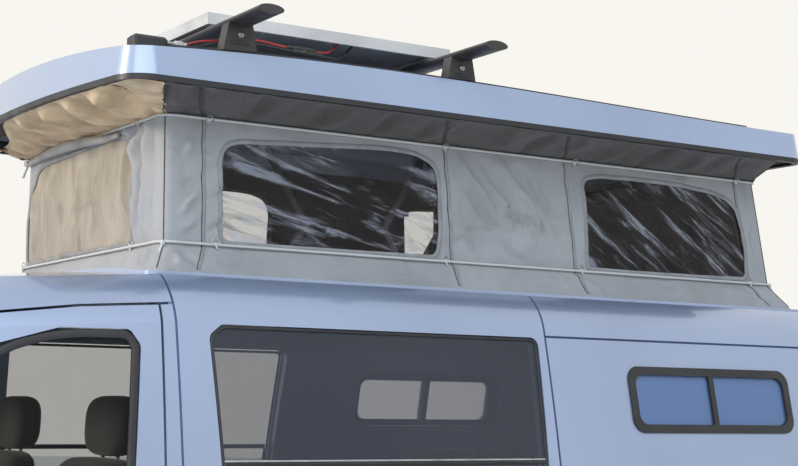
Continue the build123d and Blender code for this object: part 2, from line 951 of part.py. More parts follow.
# Tent canvas, open inside, with the elastic cords around it
canvas = tent_solid(0) - tent_solid(tent_wall) - body_solid(-flange_thickness - soft_gap, sill_bottom)
save("canvas_tent", one(canvas))
cord_loops = []
for level, rise, clear in cord_levels:
    height, half_x, front, rear = tent_rings[level]
    stand_off = cord_radius + clear
    outline = rounded_ring(
        half_x + stand_off, front - stand_off, rear + stand_off, tent_corner + stand_off, height + rise
    )
    path = outline.faces()[0].outer_wire()
    start = Plane(origin=path @ 0, z_dir=path % 0)
    cord_loops.append(sweep(start * Circle(cord_radius), path=path))
save("tent_cords", Compound(children=cord_loops))

# Base frame of the tent, lying on the roof
base_half, base_front, base_rear = tent_rings[0][1:]
flange_band = body_solid(-flange_thickness, sill_bottom) - outer
flange_out = rounded_ring(
    base_half + flange_overlap, base_front - flange_overlap, base_rear + flange_overlap, tent_corner, gutter_z
)
flange_in = rounded_ring(
    base_half - flange_width, base_front + flange_width, base_rear - flange_width, tent_corner, gutter_z
)
save("tent_base", one(flange_band & extrude(flange_out - flange_in, body_top - gutter_z)))


def shell_crown(rise):
    """Solid below the shell's domed top, raised or lowered by rise."""
    sections = []
    eaves = shell_half_width + shell_eaves
    low = shell_low - shell_side_height
    for place, edge_z, top_z in shell_top:
        edge = edge_z + rise
        face = make_face(
            Curve()
            + [
                Line((-eaves, low), (eaves, low)),
                Line((eaves, low), (eaves, edge)),
                ThreePointArc((eaves, edge), (0, top_z + rise), (-eaves, edge)),
                Line((-eaves, edge), (-eaves, low)),
            ]
        )
        sections.append(Plane.XZ.offset(-aft(place)) * face)
    return loft(sections)


def shell_plan(inset):
    """Plan outline of the shell with its bowed front."""
    front = aft(shell_front)
    rear = aft(shell_rear)
    plan = make_face(
        Curve()
        + [
            ThreePointArc((-shell_half_width, front), (0, front - shell_bow), (shell_half_width, front)),
            Line((shell_half_width, front), (shell_half_width, rear)),
            Line((shell_half_width, rear), (-shell_half_width, rear)),
            Line((-shell_half_width, rear), (-shell_half_width, front)),
        ]
    )
    plan = fillet(plan.vertices().group_by(Axis.Y)[0], shell_front_corner)
    plan = fillet(plan.vertices().group_by(Axis.Y)[-1], shell_rear_corner)
    return offset(plan, -inset) if inset else plan


# Pop-top shell with its rubber seal and the liner around the tent's head
shell_crown_0 = shell_crown(0)
shell_body = extrude(
    Pos(0, 0, shell_low + seal_height) * shell_plan(0), shell_side_height, taper=shell_lean_angle
)
shell_hollow = extrude(Pos(0, 0, shell_low) * shell_plan(shell_wall), shell_side_height, taper=shell_lean_angle)
shell = one((shell_body & shell_crown_0) - (shell_hollow & shell_crown(-shell_wall)))
seal_plan = Pos(0, 0, shell_low) * (shell_plan(0) - shell_plan(shell_wall))
save("roof_seal", extrude(seal_plan, seal_height))
liner_half, liner_front, liner_rear = tent_rings[-1][1:]
liner_z = tent_rings[-1][0] + soft_gap
liner_inset = shell_wall + seat_gap + (liner_z - shell_low) * tan(radians(shell_lean_angle))
liner = extrude(Pos(0, 0, liner_z) * shell_plan(liner_inset), liner_thickness, taper=shell_lean_angle)
liner_hole = rounded_ring(
    liner_half - liner_overlap, liner_front + liner_overlap, liner_rear - liner_overlap, tent_corner, liner_z
)
save("roof_liner", one(liner - extrude(liner_hole, liner_thickness)))

# Lifting frames: the arms of each frame fold at the knee, on both sides of the hatch
rest_angle = asin(arm_rise / 2 / arm_length)
lift_top_z = lift_base_z + arm_rise
knee_z = lift_base_z + arm_rise / 2
knee_reach = arm_length * cos(rest_angle)
upper_arm_x = arm_x + arm_thickness + arm_spacing
ear_x = upper_arm_x + arm_thickness + ear_spacing
journal_end = ear_x + ear_thickness


def bar_between(x_low, x_high, start, end, width):
    """Flat bar with round ends between two points of a side view."""
    length = sqrt((end[0] - start[0]) ** 2 + (end[1] - start[1]) ** 2)
    angle = degrees(asin((end[1] - start[1]) / length))
    angle = angle if end[0] > start[0] else 180 - angle
    middle_point = ((start[0] + end[0]) / 2, (start[1] + end[1]) / 2)
    face = Pos(*middle_point) * Rot(0, 0, angle) * SlotCenterToCenter(length, width)
    return extrude(Plane.YZ.offset(x_low) * face, x_high - x_low)


def rod_x(x_low, x_high, y, z, radius):
    return Pos((x_low + x_high) / 2, y, z) * Rot(0, 90, 0) * Cylinder(radius, x_high - x_low)


def lift_arms(base_place, lean):
    """Lower and upper arm on the left side, with their journals and the knee pin."""
    base = (aft(base_place), lift_base_z)
    knee = (aft(base_place) + lean * knee_reach, knee_z)
    top = (aft(base_place), lift_top_z)
    lower = bar_between(arm_x, arm_x + arm_thickness, base, knee, arm_width)
    lower = lower + rod_x(arm_x, journal_end, *base, journal_radius)
    lower = lower - rod_x(arm_x - wall, arm_x + wall, *knee, pin_radius + pivot_clearance)
    upper = bar_between(upper_arm_x, upper_arm_x + arm_thickness, knee, top, arm_width)
    upper = upper + rod_x(upper_arm_x, journal_end, *top, journal_radius)
    upper = upper + rod_x(arm_x, upper_arm_x, *knee, pin_radius)
    return one(lower), one(upper)


roof_ears = []
for name, place, lean in [("front", lift_front, 1), ("rear", lift_rear, -1)]:
    lower_arm, upper_arm = lift_arms(place, lean)
    save("lift_lower_" + name, both_sides(lower_arm))
    save("lift_upper_" + name, both_sides(upper_arm))
    base = (aft(place), lift_base_z)
    top = (aft(place), lift_top_z)
    for side in (-1, 1):
        low, high = sided(side, ear_x, journal_end)
        ear = bar_between(low, high, base, (base[0], base[1] - ear_length), ear_width)
        ear = ear - rod_x(low, high, *base, journal_radius + pivot_clearance)
        roof_ears.append(one(ear - outer))
        ear = bar_between(low, high, top, (top[0], top[1] + ear_length), ear_width)
        shell = shell + (ear & shell_crown(-shell_wall / 2))
        shell = shell - rod_x(low, high, *top, journal_radius + pivot_clearance)
save("lift_ears", Compound(children=roof_ears))
save("roof_shell", one(shell))

# Tracks along the roof's edges
track_crown = shell_crown(track_height)
tracks = []
for side in (-1, 1):
    low, high = sided(side, track_x - track_width / 2, track_x + track_width / 2)
    strip = block((low, high, track_front, track_rear, shell_low, bar_z), 0)
    tracks.append(one(strip & (track_crown - shell_crown_0)))
save("roof_tracks", Compound(children=tracks))

# Crossbars with their feet on the tracks
bars = []
for place in bar_places:
    profile = Pos(aft(place), bar_z) * Ellipse(bar_depth / 2, bar_height / 2)
    bar = extrude(Plane.YZ.offset(-bar_half_length) * profile, 2 * bar_half_length)
    for side in (-1, 1):
        low, high = sided(side, track_x - foot_width / 2, track_x + foot_width / 2)
        foot_view = [
            (place - foot_length / 2, shell_low), (place - foot_length / 2, shell_top[1][1]),
            (place - foot_head / 2, bar_z), (place + foot_head / 2, bar_z),
            (place + foot_length / 2, shell_top[1][1]), (place + foot_length / 2, shell_low),
        ]
        bar = bar + (side_prism(foot_view, 0, low, high) - track_crown)
    bars.append(one(bar))
save("crossbars", Compound(children=bars))

# Solar panel on the crossbars
panel_top = panel_z + panel_height
sheet_low = panel_top - panel_sheet
solar_panel = block((-panel_half_width, panel_half_width, panel_front, panel_rear, panel_z, panel_top), 0)
solar_panel = solar_panel - block(
    (
        panel_lip - panel_half_width, panel_half_width - panel_lip, panel_front + panel_lip,
        panel_rear - panel_lip, panel_z - wall, sheet_low,
    ),
    0,
)
for place in bar_places:
    for side in (-1, 1):
        low, high = sided(side, panel_half_width - panel_lip - clamp_size, panel_half_width - panel_lip)
        clamp_limits = (
            low, high, place - clamp_size / 2, place + clamp_size / 2, bar_z + bar_height / 2, sheet_low
        )
        solar_panel = solar_panel + block(clamp_limits, 0)
save("solar_panel", one(solar_panel))

# Cable entry on the roof and the two solar leads
entry_right = entry_x - entry_width / 2
entry_left = entry_x + entry_width / 2
entry = block((entry_right, entry_left, entry_front, entry_rear, shell_low, entry_top), 0)
entry = fillet(entry.edges().filter_by(Axis.Z), entry_corner)
entry = chamfer(entry.faces().sort_by(Axis.Z)[-1].edges(), entry_chamfer)
save("cable_entry", one(entry - shell_crown_0))
for name, route in lead_routes:
    lead_path = FilletPolyline(*[(x, aft(place), z) for x, place, z in route], radius=lead_bend)
    lead_start = Plane(origin=lead_path @ 0, z_dir=lead_path % 0)
    save("solar_lead_" + name, sweep(lead_start * Circle(lead_radius), path=lead_path))


def wheel_axis(shape, x, y):
    """Places a wheel part that was made around the Z axis onto its axle."""
    return Pos(x, y, wheel_radius) * Rot(0, 90, 0) * shape


def tyre_profile(inset):
    """Radius and place across the tyre, from the bead to the tread's edge."""
    half = tyre_width / 2
    return [
        (rim_radius + seat_gap, half * 0.72),
        (wheel_radius * 0.80, half - inset),
        (wheel_radius - 2 * tyre_wall - inset, half * 0.93 - inset),
        (wheel_radius - tyre_wall / 2 - inset, half * 0.80 - inset),
        (wheel_radius - inset, half * 0.55),
    ]


# Tyre with its cavity
tyre_out = tyre_profile(0)
tyre_in = tyre_profile(tyre_wall)
bead_out = tyre_out[0]
bead_in = (tyre_in[0][0], tyre_in[0][1] - tyre_bead)
half_edges = [
    ThreePointArc(*tyre_out[:3]), Polyline(*tyre_out[2:]),
    ThreePointArc(bead_in, *tyre_in[1:3]), Polyline(*tyre_in[2:]),
]
other_edges = [mirror(edge, Plane.XZ) for edge in half_edges]
closing = [
    Line(bead_out, bead_in),
    Line((bead_out[0], -bead_out[1]), (bead_in[0], -bead_in[1])),
    Line(tyre_out[-1], (tyre_out[-1][0], -tyre_out[-1][1])),
    Line(tyre_in[-1], (tyre_in[-1][0], -tyre_in[-1][1])),
]
tyre_section = make_face(Curve() + half_edges + other_edges + closing)
tyre = revolve(Plane.XZ * tyre_section, Axis.Z)

# Rim, made with its outer face up, and the spokes around its hub
seat_end = rim_half + rim_flange
well_low = rim_well_x - rim_well_half
well_high = rim_well_x + rim_well_half
barrel = [
    (rim_radius, -rim_half), (rim_radius + rim_lip, -rim_half), (rim_radius + rim_lip, -seat_end),
    (rim_radius - rim_gauge, -seat_end), (rim_radius - rim_gauge, well_low),
    (rim_radius - rim_gauge - rim_well, rim_well_x), (rim_radius - rim_gauge, well_high),
    (rim_radius - rim_gauge, seat_end), (rim_radius + rim_lip, seat_end), (rim_radius + rim_lip, rim_half),
    (rim_radius, rim_half), (rim_radius, well_high), (rim_radius - rim_well, rim_well_x + 2),
    (rim_radius - rim_well, rim_well_x - 2), (rim_radius, well_low),
]
rim = revolve(Plane.XZ * make_face(Polyline(*barrel, close=True)), Axis.Z)
spokes = Pos(0, 0, rim_face - hub_depth / 2) * Cylinder(hub_radius, hub_depth)
spoke_end = rim_radius - rim_gauge - rim_lip
spoke_view = [
    (0, -spoke_root / 2), (spoke_end, -spoke_tip / 2), (spoke_end, spoke_tip / 2), (0, spoke_root / 2)
]
spoke_low = rim_face - spoke_setback - spoke_depth
spoke = extrude(Pos(0, 0, spoke_low) * make_face(Polyline(*spoke_view, close=True)), spoke_depth)
for number in range(spoke_count):
    spokes = spokes + Rot(0, 0, number * 360 / spoke_count) * spoke
spokes = spokes - Cylinder(spindle_radius + pivot_clearance, 2 * tyre_width)
rim = one(rim + spokes)
wheel_places = [
    ("front_left", front_axle_y, front_track / 2),
    ("front_right", front_axle_y, -front_track / 2),
    ("rear_left", rear_axle_y, rear_track / 2),
    ("rear_right", rear_axle_y, -rear_track / 2),
]
for name, y, x in wheel_places:
    save("tyre_" + name, wheel_axis(tyre, x, y))
    turned = rim if x > 0 else Rot(180, 0, 0) * rim
    save("rim_" + name, wheel_axis(turned, x, y))

# Front knuckles with stub axle, ball joint and strut
spindle_end = front_track / 2 + rim_face + spindle_stub
kingpin_low = Vector(front_track / 2 - ball_inset, front_axle_y, ball_z)
strut_top_z = wheel_radius + tub_radius - tub_wall - strut_top_gap
strut_top_x = kingpin_low.X - (strut_top_z - ball_z) * kingpin_slope
kingpin_top = Vector(strut_top_x, front_axle_y, strut_top_z)
strut_axis = Axis(kingpin_low, kingpin_top - kingpin_low)
strut_length = (kingpin_top - kingpin_low).length


def along_kingpin(start, end, radius):
    """Cylinder on the steering axis between two distances from the lower ball."""
    direction = strut_axis.direction
    plane = Plane(origin=kingpin_low + direction * start, z_dir=direction)
    return extrude(plane * Circle(radius), end - start)


knuckle = rod_x(kingpin_low.X - upright_inner, spindle_end, front_axle_y, wheel_radius, spindle_radius)
knuckle = knuckle + box(
    kingpin_low.X - upright_inner, kingpin_low.X + upright_outer,
    front_axle_y - upright_half, front_axle_y + upright_half, upright_low, upright_high,
)
knuckle = knuckle + Pos(*kingpin_low) * Sphere(ball_radius)
spring_top = strut_length - spring_seat
knuckle = knuckle + along_kingpin(0, stem_length, stem_radius)
knuckle = knuckle + along_kingpin(strut_start, spring_top, strut_radius)
knuckle = knuckle + along_kingpin(spring_top - spring_length, strut_length, spring_radius)
knuckle = one(knuckle)
save("knuckle_left", knuckle)
save("knuckle_right", mirror(knuckle, Plane.YZ))

# Front subframe with lower arms and the engine's mounts
subframe = block((-sub_half_width, sub_half_width, -sub_reach, sub_reach, sub_low, sub_top), 0)
window_half = sub_half_width - sub_beam
window_reach = sub_reach - sub_beam
subframe = subframe - block((-window_half, window_half, -window_reach, window_reach, sub_low, sub_top), 0)
arm_low = ball_z - arm_plate / 2
arm_view = [
    (arm_foot_x, aft(arm_foot_front)), (kingpin_low.X, aft(-arm_tip_half)),
    (kingpin_low.X, aft(arm_tip_half)), (arm_foot_x, aft(arm_foot_rear)),
]
arm = extrude(Pos(0, 0, arm_low) * make_face(Polyline(*arm_view, close=True)), arm_plate)
arm = arm + Pos(*kingpin_low) * Cylinder(ball_cup_radius, ball_cup_height)
arm = arm - Pos(*kingpin_low) * Sphere(ball_radius + seat_gap)
arm = arm - along_kingpin(0, stem_length, stem_radius + seat_gap)
arm = arm + block((bush_low_x, bush_high_x, arm_foot_front, arm_foot_rear, arm_low, sub_low + seat_gap), 0)
tower_limits = (tower_inner_x, tower_outer_x, -strut_tower_half, strut_tower_half, sub_low, rail_low)
arm = arm + block(tower_limits, 0)
subframe = subframe + arm + mirror(arm, Plane.YZ)
for side in (-1, 1):
    low, high = sided(side, mount_inner_x, mount_outer_x)
    subframe = subframe + block((low, high, mount_front, mount_rear, sub_top, engine_low), 0)
save("front_subframe", one(subframe))

# Engine with its ribbed cover
engine = block((engine_right, engine_left, engine_front, engine_rear, engine_low, engine_high), 0)
engine = chamfer(engine.edges(), engine_chamfer)
cover_right = engine_right + cover_inset
cover_left = engine_left - cover_inset
cover_front = engine_front + cover_inset
cover_rear = engine_rear - cover_inset
cover_top = engine_high + cover_height
engine = engine + block((cover_right, cover_left, cover_front, cover_rear, engine_high, cover_top), 0)
rib_pitch = (cover_rear - cover_front) / cover_ribs
for number in range(cover_ribs):
    rib_place = cover_front + (number + 0.5) * rib_pitch
    rib_limits = (
        cover_right, cover_left, rib_place - cover_rib_width / 2, rib_place + cover_rib_width / 2,
        cover_top, cover_top + cover_rib_height,
    )
    engine = engine + block(rib_limits, 0)
save("engine_block", one(engine))

# Rear axle: cross tube, trailing arms, springs and stub axles
rear_spindle_end = rear_track / 2 + rim_face + spindle_stub
axle = rod_x(-rear_arm_x, rear_arm_x, rear_axle_y - beam_ahead, wheel_radius - beam_drop, beam_radius)
pivot = (rear_axle_y - trailing_reach, floor_low - trailing_pivot_drop)
for side in (-1, 1):
    low, high = sided(side, rear_arm_x - trailing_width / 2, rear_spindle_end)
    axle = axle + rod_x(low, high, rear_axle_y, wheel_radius, spindle_radius)
    low, high = sided(side, rear_arm_x - trailing_width / 2, rear_arm_x + trailing_width / 2)
    axle = axle + bar_between(low, high, pivot, (rear_axle_y, wheel_radius), trailing_depth)
    low, high = sided(side, rear_arm_x - bracket_half_width, rear_arm_x + bracket_half_width)
    axle = axle + box(
        low, high, pivot[0] - bracket_half_length, pivot[0] + bracket_half_length,
        floor_low - bracket_height, floor_low,
    )
    coil_height = floor_low - coil_low
    coil_centre = Pos(side * rear_arm_x, rear_axle_y - coil_ahead, coil_low + coil_height / 2)
    axle = axle + coil_centre * Cylinder(coil_radius, coil_height)
save("rear_axle", one(axle))

# Fuel tank and exhaust below the floor
tank = block((tank_right, tank_left, tank_front, tank_rear, tank_low, floor_low), 0)
save("fuel_tank", fillet(tank.edges(), tank_corner))
pipe_points = [(pipe_x + shift, aft(place), height) for place, shift, height in pipe_route]
pipe_path = FilletPolyline(*pipe_points, radius=pipe_bend)
pipe_start = Plane(origin=pipe_path @ 0, z_dir=pipe_path % 0)
exhaust = sweep(pipe_start * Circle(pipe_radius), path=pipe_path)
silencer = Rot(90, 0, 0) * Cylinder(silencer_radius, silencer_length)
exhaust = exhaust + Pos(pipe_x, aft(silencer_place), silencer_z) * silencer
for hanger in hanger_places:
    hanger_limits = (
        pipe_x - hanger_width / 2, pipe_x + hanger_width / 2,
        hanger - hanger_length / 2, hanger + hanger_length / 2, silencer_z, floor_low,
    )
    exhaust = exhaust + block(hanger_limits, 0)
save("exhaust", one(exhaust))


def cushion(limits, corner):
    pad = block(limits, 0)
    return fillet(pad.edges(), corner)


def backrest(view, place, x_low, x_high):
    """Seat back with rounded edges from a side view relative to the seat's place."""
    back = side_prism([(place + shift, height) for shift, height in view], 0, x_low, x_high)
    return fillet(back.edges().filter_by(Axis.X, reverse=True), seat_back_corner)


def seat(x, place):
    """Cab seat on its box, with a headrest on two posts."""
    left = x + seat_half_width
    right = x - seat_half_width
    base = (x - seat_base_half, x + seat_base_half, place + seat_base_front, place + seat_base_rear)
    shape = block((*base, floor_top, seat_base_top), 0)
    pad = (right, left, place + seat_pad_front, place + seat_pad_rear, seat_pad_low, seat_pad_high)
    shape = shape + cushion(pad, seat_corner)
    shape = shape + backrest(seat_back_view, place, x - seat_back_half, x + seat_back_half)
    head = (x - head_half_width, x + head_half_width, place + head_front, place + head_rear)
    shape = shape + cushion((*head, head_low, head_high), head_corner)
    post_height = head_high - head_corner - head_post_low
    post = Cylinder(head_post_radius, post_height)
    for side in (-1, 1):
        foot = (x + side * head_post_x, aft(place + (head_front + head_rear) / 2))
        shape = shape + Pos(*foot, head_post_low + post_height / 2) * post
    return one(shape)


save("cab_seats", Compound(children=[seat(seat_x, seat_place), seat(-seat_x, seat_place)]))
dash_front = floor_front + bulkhead_thickness + seat_gap
dash_foot = [(dash_front, dash_low), (dash_front, dash_foot_top)]
dash = side_prism(dash_foot + dash_view, 0, -dash_half_width, dash_half_width)
dash = fillet(dash.edges().filter_by(Axis.X), dash_corner)
save("dashboard", dash)
wheel_plane = Plane(origin=(seat_x, aft(steering_place), steering_z), z_dir=column_direction)
steering = wheel_plane * Torus(steering_radius, steering_grip)
steering = steering + wheel_plane * Cylinder(steering_hub_radius, steering_hub_depth)
for number in range(steering_spokes):
    spoke = Pos(steering_radius / 2, 0, 0) * Box(steering_radius, steering_spoke_width, steering_spoke_depth)
    steering = steering + wheel_plane * (Rot(0, 0, 90 + number * 360 / steering_spokes) * spoke)
steering = steering + extrude(wheel_plane * Circle(column_radius), -column_length)
save("steering_wheel", one(steering - dash))

# Rear bench
bench_inner = bench_half_width - 10
bench_box = (-bench_inner, bench_inner, bench_place + bench_base_front, bench_place, floor_top, seat_base_top)
bench = block(bench_box, 0)
bench_front = bench_place + bench_pad_front
bench_rear = bench_place + bench_pad_rear
bench_pad = (-bench_half_width, bench_half_width, bench_front, bench_rear, seat_pad_low, seat_pad_high)
bench = bench + cushion(bench_pad, seat_corner)
bench = bench + backrest(bench_back_view, bench_place, -bench_half_width, bench_half_width)
save("rear_bench", one(bench))

# Mirrors on the front doors
mirror_body = cushion(
    (half_width - mirror_inset, half_width + mirror_reach, mirror_front, mirror_rear, mirror_low, mirror_high),
    mirror_corner,
)
mirror_arm = block(
    (
        mirror_foot_x, half_width + mirror_arm_reach, mirror_arm_front, mirror_arm_rear,
        mirror_arm_low, mirror_arm_high,
    ),
    0,
)
door_mirror = one((mirror_body + mirror_arm) - outer)
save("mirror_left", door_mirror)
save("mirror_right", mirror(door_mirror, Plane.YZ))
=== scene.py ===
import math

import bmesh
import bpy
import numpy as np
from mathutils import Matrix, Vector
from mathutils.bvhtree import BVHTree


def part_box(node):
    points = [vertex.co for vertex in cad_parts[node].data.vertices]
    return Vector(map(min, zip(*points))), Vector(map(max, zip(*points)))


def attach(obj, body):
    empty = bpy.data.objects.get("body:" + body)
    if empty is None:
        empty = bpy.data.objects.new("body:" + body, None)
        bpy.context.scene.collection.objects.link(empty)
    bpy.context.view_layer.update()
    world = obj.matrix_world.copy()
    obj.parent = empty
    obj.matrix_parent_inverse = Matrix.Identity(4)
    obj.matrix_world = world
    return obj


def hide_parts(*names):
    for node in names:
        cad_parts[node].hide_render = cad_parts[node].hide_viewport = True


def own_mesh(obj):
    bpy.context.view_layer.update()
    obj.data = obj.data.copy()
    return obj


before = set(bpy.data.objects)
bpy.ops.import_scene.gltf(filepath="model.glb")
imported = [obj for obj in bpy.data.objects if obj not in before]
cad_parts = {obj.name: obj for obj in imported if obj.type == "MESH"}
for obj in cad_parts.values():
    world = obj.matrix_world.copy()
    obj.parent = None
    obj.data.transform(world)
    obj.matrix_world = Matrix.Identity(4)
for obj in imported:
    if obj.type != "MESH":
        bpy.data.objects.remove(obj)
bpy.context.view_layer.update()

PHOTO_WIDTH, FOCAL_PIXELS = 798, 1608.1
AXLE = 1.675  # the front axle lies this far before the frame's origin, in metres


def at(x, d, z):
    """Row frame metres of a place in mm: left of the middle, behind the front axle, above the ground."""
    return (x / 1000, d / 1000 - AXLE, z / 1000)


def to_frame(points):
    """The same for an array of places."""
    return np.asarray(points, float) / 1000 - np.array([0, AXLE, 0])


def placed(name, data):
    """A new object in the scene."""
    made = bpy.data.objects.new(name, data)
    bpy.context.collection.objects.link(made)
    return made


def turns(count):
    """Cosine and sine of the angles that share out a full turn."""
    return [(math.cos(2 * math.pi * k / count), math.sin(2 * math.pi * k / count)) for k in range(count)]


# ---------------------------------------------------------------- camera

yaw, pitch, roll = math.radians(32.37), math.radians(6.31), math.radians(0.70)
view = Vector((-math.cos(yaw) * math.cos(pitch), math.sin(yaw) * math.cos(pitch), math.sin(pitch)))
level = view.cross(Vector((0, 0, 1))).normalized()
above = level.cross(view)
right = level * math.cos(roll) + above * math.sin(roll)
top = above * math.cos(roll) - level * math.sin(roll)
camera_data = bpy.data.cameras.new("photo_camera")
camera_data.sensor_width = 36
camera_data.lens = FOCAL_PIXELS * camera_data.sensor_width / PHOTO_WIDTH
camera = placed("photo_camera", camera_data)
camera.matrix_world = Matrix.Translation((4.705, -2.049, 1.489)) @ Matrix((right, top, -view)).transposed().to_4x4()
bpy.context.scene.camera = camera
bpy.context.scene.view_settings.view_transform = "Standard"


# ---------------------------------------------------------------- nodes

def put(tree, kind, feeds=(), **values):
    """A new node: feeds are (its input, what feeds it), values its plain inputs, with _ for a space."""
    node = tree.nodes.new("ShaderNode" + kind)
    for socket, value in values.items():
        node.inputs[socket.replace("_", " ")].default_value = value
    for socket, source in feeds:
        tree.links.new(source, node.inputs[socket])
    return node


def ranged(tree, value, start, end, low=0.0, high=1.0):
    """A value carried from the range start to end over to low to high."""
    node = put(tree, "MapRange", [("Value", value)], From_Min=start, From_Max=end, To_Min=low, To_Max=high)
    return node.outputs["Result"]


def combined(tree, operation, one, other):
    """Two values combined by a maths operation."""
    node = put(tree, "Math", [(0, one), (1, other)])
    node.operation = operation
    return node.outputs[0]


# ---------------------------------------------------------------- light

world = bpy.data.worlds.new("studio")
bpy.context.scene.world = world
world.use_nodes = True
tree = world.node_tree
tree.nodes.clear()
rays = put(tree, "LightPath").outputs
mirrored = combined(tree, "MAXIMUM", rays["Is Camera Ray"], rays["Is Glossy Ray"])
backdrop_ray = combined(tree, "MAXIMUM", mirrored, rays["Is Transmission Ray"])
height = put(tree, "SeparateXYZ", [("Vector", put(tree, "TexCoord").outputs["Generated"])]).outputs["Z"]
strength = ranged(tree, height, -0.3, 0.9, 0.40, 0.74)
soft_light = put(tree, "Background", [("Strength", strength)], Color=(0.80, 0.90, 1.0, 1))
backdrop = put(tree, "Background", Color=(0.94, 0.92, 0.87, 1))
blend = put(tree, "MixShader", [("Fac", backdrop_ray), (1, soft_light.outputs[0]), (2, backdrop.outputs[0])])
put(tree, "OutputWorld", [("Surface", blend.outputs[0])])


def lamp(name, kind, energy, color, way, place=(0, 0, 0)):
    """A lamp that shines along a direction."""
    data = bpy.data.lights.new(name, kind)
    data.energy, data.color = energy, color
    made = placed(name, data)
    made.location = place
    made.rotation_euler = Vector(way).to_track_quat("-Z", "Y").to_euler()
    return data


lamp("key", "SUN", 2.2, (1.0, 0.90, 0.76), (0.22, 0.93, -0.31)).angle = math.radians(14)
sky = lamp("sky_panel", "AREA", 320, (0.84, 0.92, 1.0), (-6.2, 3.2, -4.8), (6.2, -2.6, 6.4))
sky.shape = "RECTANGLE"
sky.size, sky.size_y = 9, 6


# ---------------------------------------------------------------- materials

def shader_of(made):
    """A material's Principled shader."""
    return made.node_tree.nodes["Principled BSDF"]


def material(name, color, roughness=0.5, metallic=0.0, **sockets):
    """A Principled material; sockets are its other plain values, with _ for a space."""
    made = bpy.data.materials.new(name)
    made.use_nodes = True
    sockets.update(Base_Color=(*color, 1), Roughness=roughness, Metallic=metallic)
    for socket, value in sockets.items():
        shader_of(made).inputs[socket.replace("_", " ")].default_value = value
    return made


def texture(made, kind, scale, stretch=(1, 1, 1), turn=(0, 0, 0), output="Fac", **values):
    """The value of a procedural texture in the piece's own metres."""
    tree = made.node_tree
    place = put(tree, "TexCoord").outputs["Object"]
    scales = [1 / max(share, 1e-6) for share in stretch]
    mapping = put(tree, "Mapping", [("Vector", place)], Scale=scales, Rotation=turn)
    mapping.vector_type = "TEXTURE"
    return put(tree, "Tex" + kind, [("Vector", mapping.outputs["Vector"])], Scale=scale, **values).outputs[output]


def noise(made, scale, detail, stretch=(1, 1, 1), turn=(0, 0, 0), **values):
    """The value of a cloudy texture."""
    return texture(made, "Noise", scale, stretch, turn, Detail=detail, **values)


def weave(made, scale, stretch=(1, 1, 1), turn=(0, 0, 0), **values):
    """The value of a banded texture."""
    return texture(made, "Wave", scale, stretch, turn, **values)


def grain(made, scale):
    """The value of a pored texture."""
    return texture(made, "Voronoi", scale, output="Distance")


def spread(made, value, socket, low, high, start=0.3, end=0.7):
    """Feeds a texture's value to a socket of the shader, as a number from low to high."""
    made.node_tree.links.new(ranged(made.node_tree, value, start, end, low, high), shader_of(made).inputs[socket])


def tones(made, value, *stops):
    """Colours the shader by a texture's value; stops are (position, colour)."""
    ramp = put(made.node_tree, "ValToRGB", [("Fac", value)])
    marks = ramp.color_ramp.elements
    while len(marks) < len(stops):
        marks.new(0.5)
    for mark, (place, color) in zip(marks, stops):
        mark.position = place
        mark.color = (*color, 1)
    made.node_tree.links.new(ramp.outputs["Color"], shader_of(made).inputs["Base Color"])


def mottle(made, value, low, high, start=0.3, end=0.7):
    """Colours the shader from one tone to another by a texture's value."""
    tones(made, value, (start, low), (end, high))


def layer(made, factor, color, start=0.4, end=0.6, amount=1.0):
    """Lays another colour over what the shader has, where a texture's value is high."""
    links, base = made.node_tree.links, shader_of(made).inputs["Base Color"]
    mix = made.node_tree.nodes.new("ShaderNodeMix")
    mix.data_type = "RGBA"
    under, over = [socket for socket in mix.inputs if socket.type == "RGBA"]
    over.default_value = (*color, 1)
    if base.is_linked:
        links.new(base.links[0].from_socket, under)
    else:
        under.default_value = base.default_value
    links.new(ranged(made.node_tree, factor, start, end, 0, amount), mix.inputs["Factor"])
    links.new([socket for socket in mix.outputs if socket.type == "RGBA"][0], base)


def zone(made, axis, low, high):
    """0 before and 1 past a place along an axis of the piece, in metres."""
    place = put(made.node_tree, "TexCoord").outputs["Object"]
    parts = put(made.node_tree, "SeparateXYZ", [("Vector", place)])
    return ranged(made.node_tree, parts.outputs[axis], low, high)


def carried(made, name):
    """A value that the piece's own points carry."""
    source = put(made.node_tree, "Attribute")
    source.attribute_name = name
    return source.outputs["Fac"]


def both(made, one, other):
    """The product of two values."""
    return combined(made.node_tree, "MULTIPLY", one, other)


def band_painted_light(made, dark, tan):
    """The high band under the roof: painted shade, dark along the sides and rear, and tan cloth over the front, painted
    brighter as painted sunlight.
    """
    layer(made, carried(made, "high"), dark, 0.45, 0.6, 0.92)
    front = both(made, carried(made, "high"), carried(made, "front"))
    layer(made, front, tan, 0.4, 0.6, 0.96)
    return front


def spot(made, place, reach, ragged=0.0):
    """1 at a place, falling to 0 at a distance from it, with an uneven edge."""
    where = put(made.node_tree, "TexCoord").outputs["Object"]
    far = put(made.node_tree, "VectorMath", [(0, where)])
    far.operation = "DISTANCE"
    far.inputs[1].default_value = place
    near = ranged(made.node_tree, far.outputs["Value"], 0, reach, 1, 0)
    return both(made, near, noise(made, ragged, 6)) if ragged else near


def bump(made, value, distance, strength=1.0):
    """Adds a texture to the surface's relief; distance is its height in metres."""
    normal = shader_of(made).inputs["Normal"]
    under = [("Normal", normal.links[0].from_socket)] if normal.is_linked else []
    relief = put(made.node_tree, "Bump", [("Height", value), *under], Strength=strength, Distance=distance)
    made.node_tree.links.new(relief.outputs["Normal"], normal)


def scaled(color, share, more=0.0):
    """A colour made darker or lighter."""
    return tuple(min(1, share * c + more) for c in color)


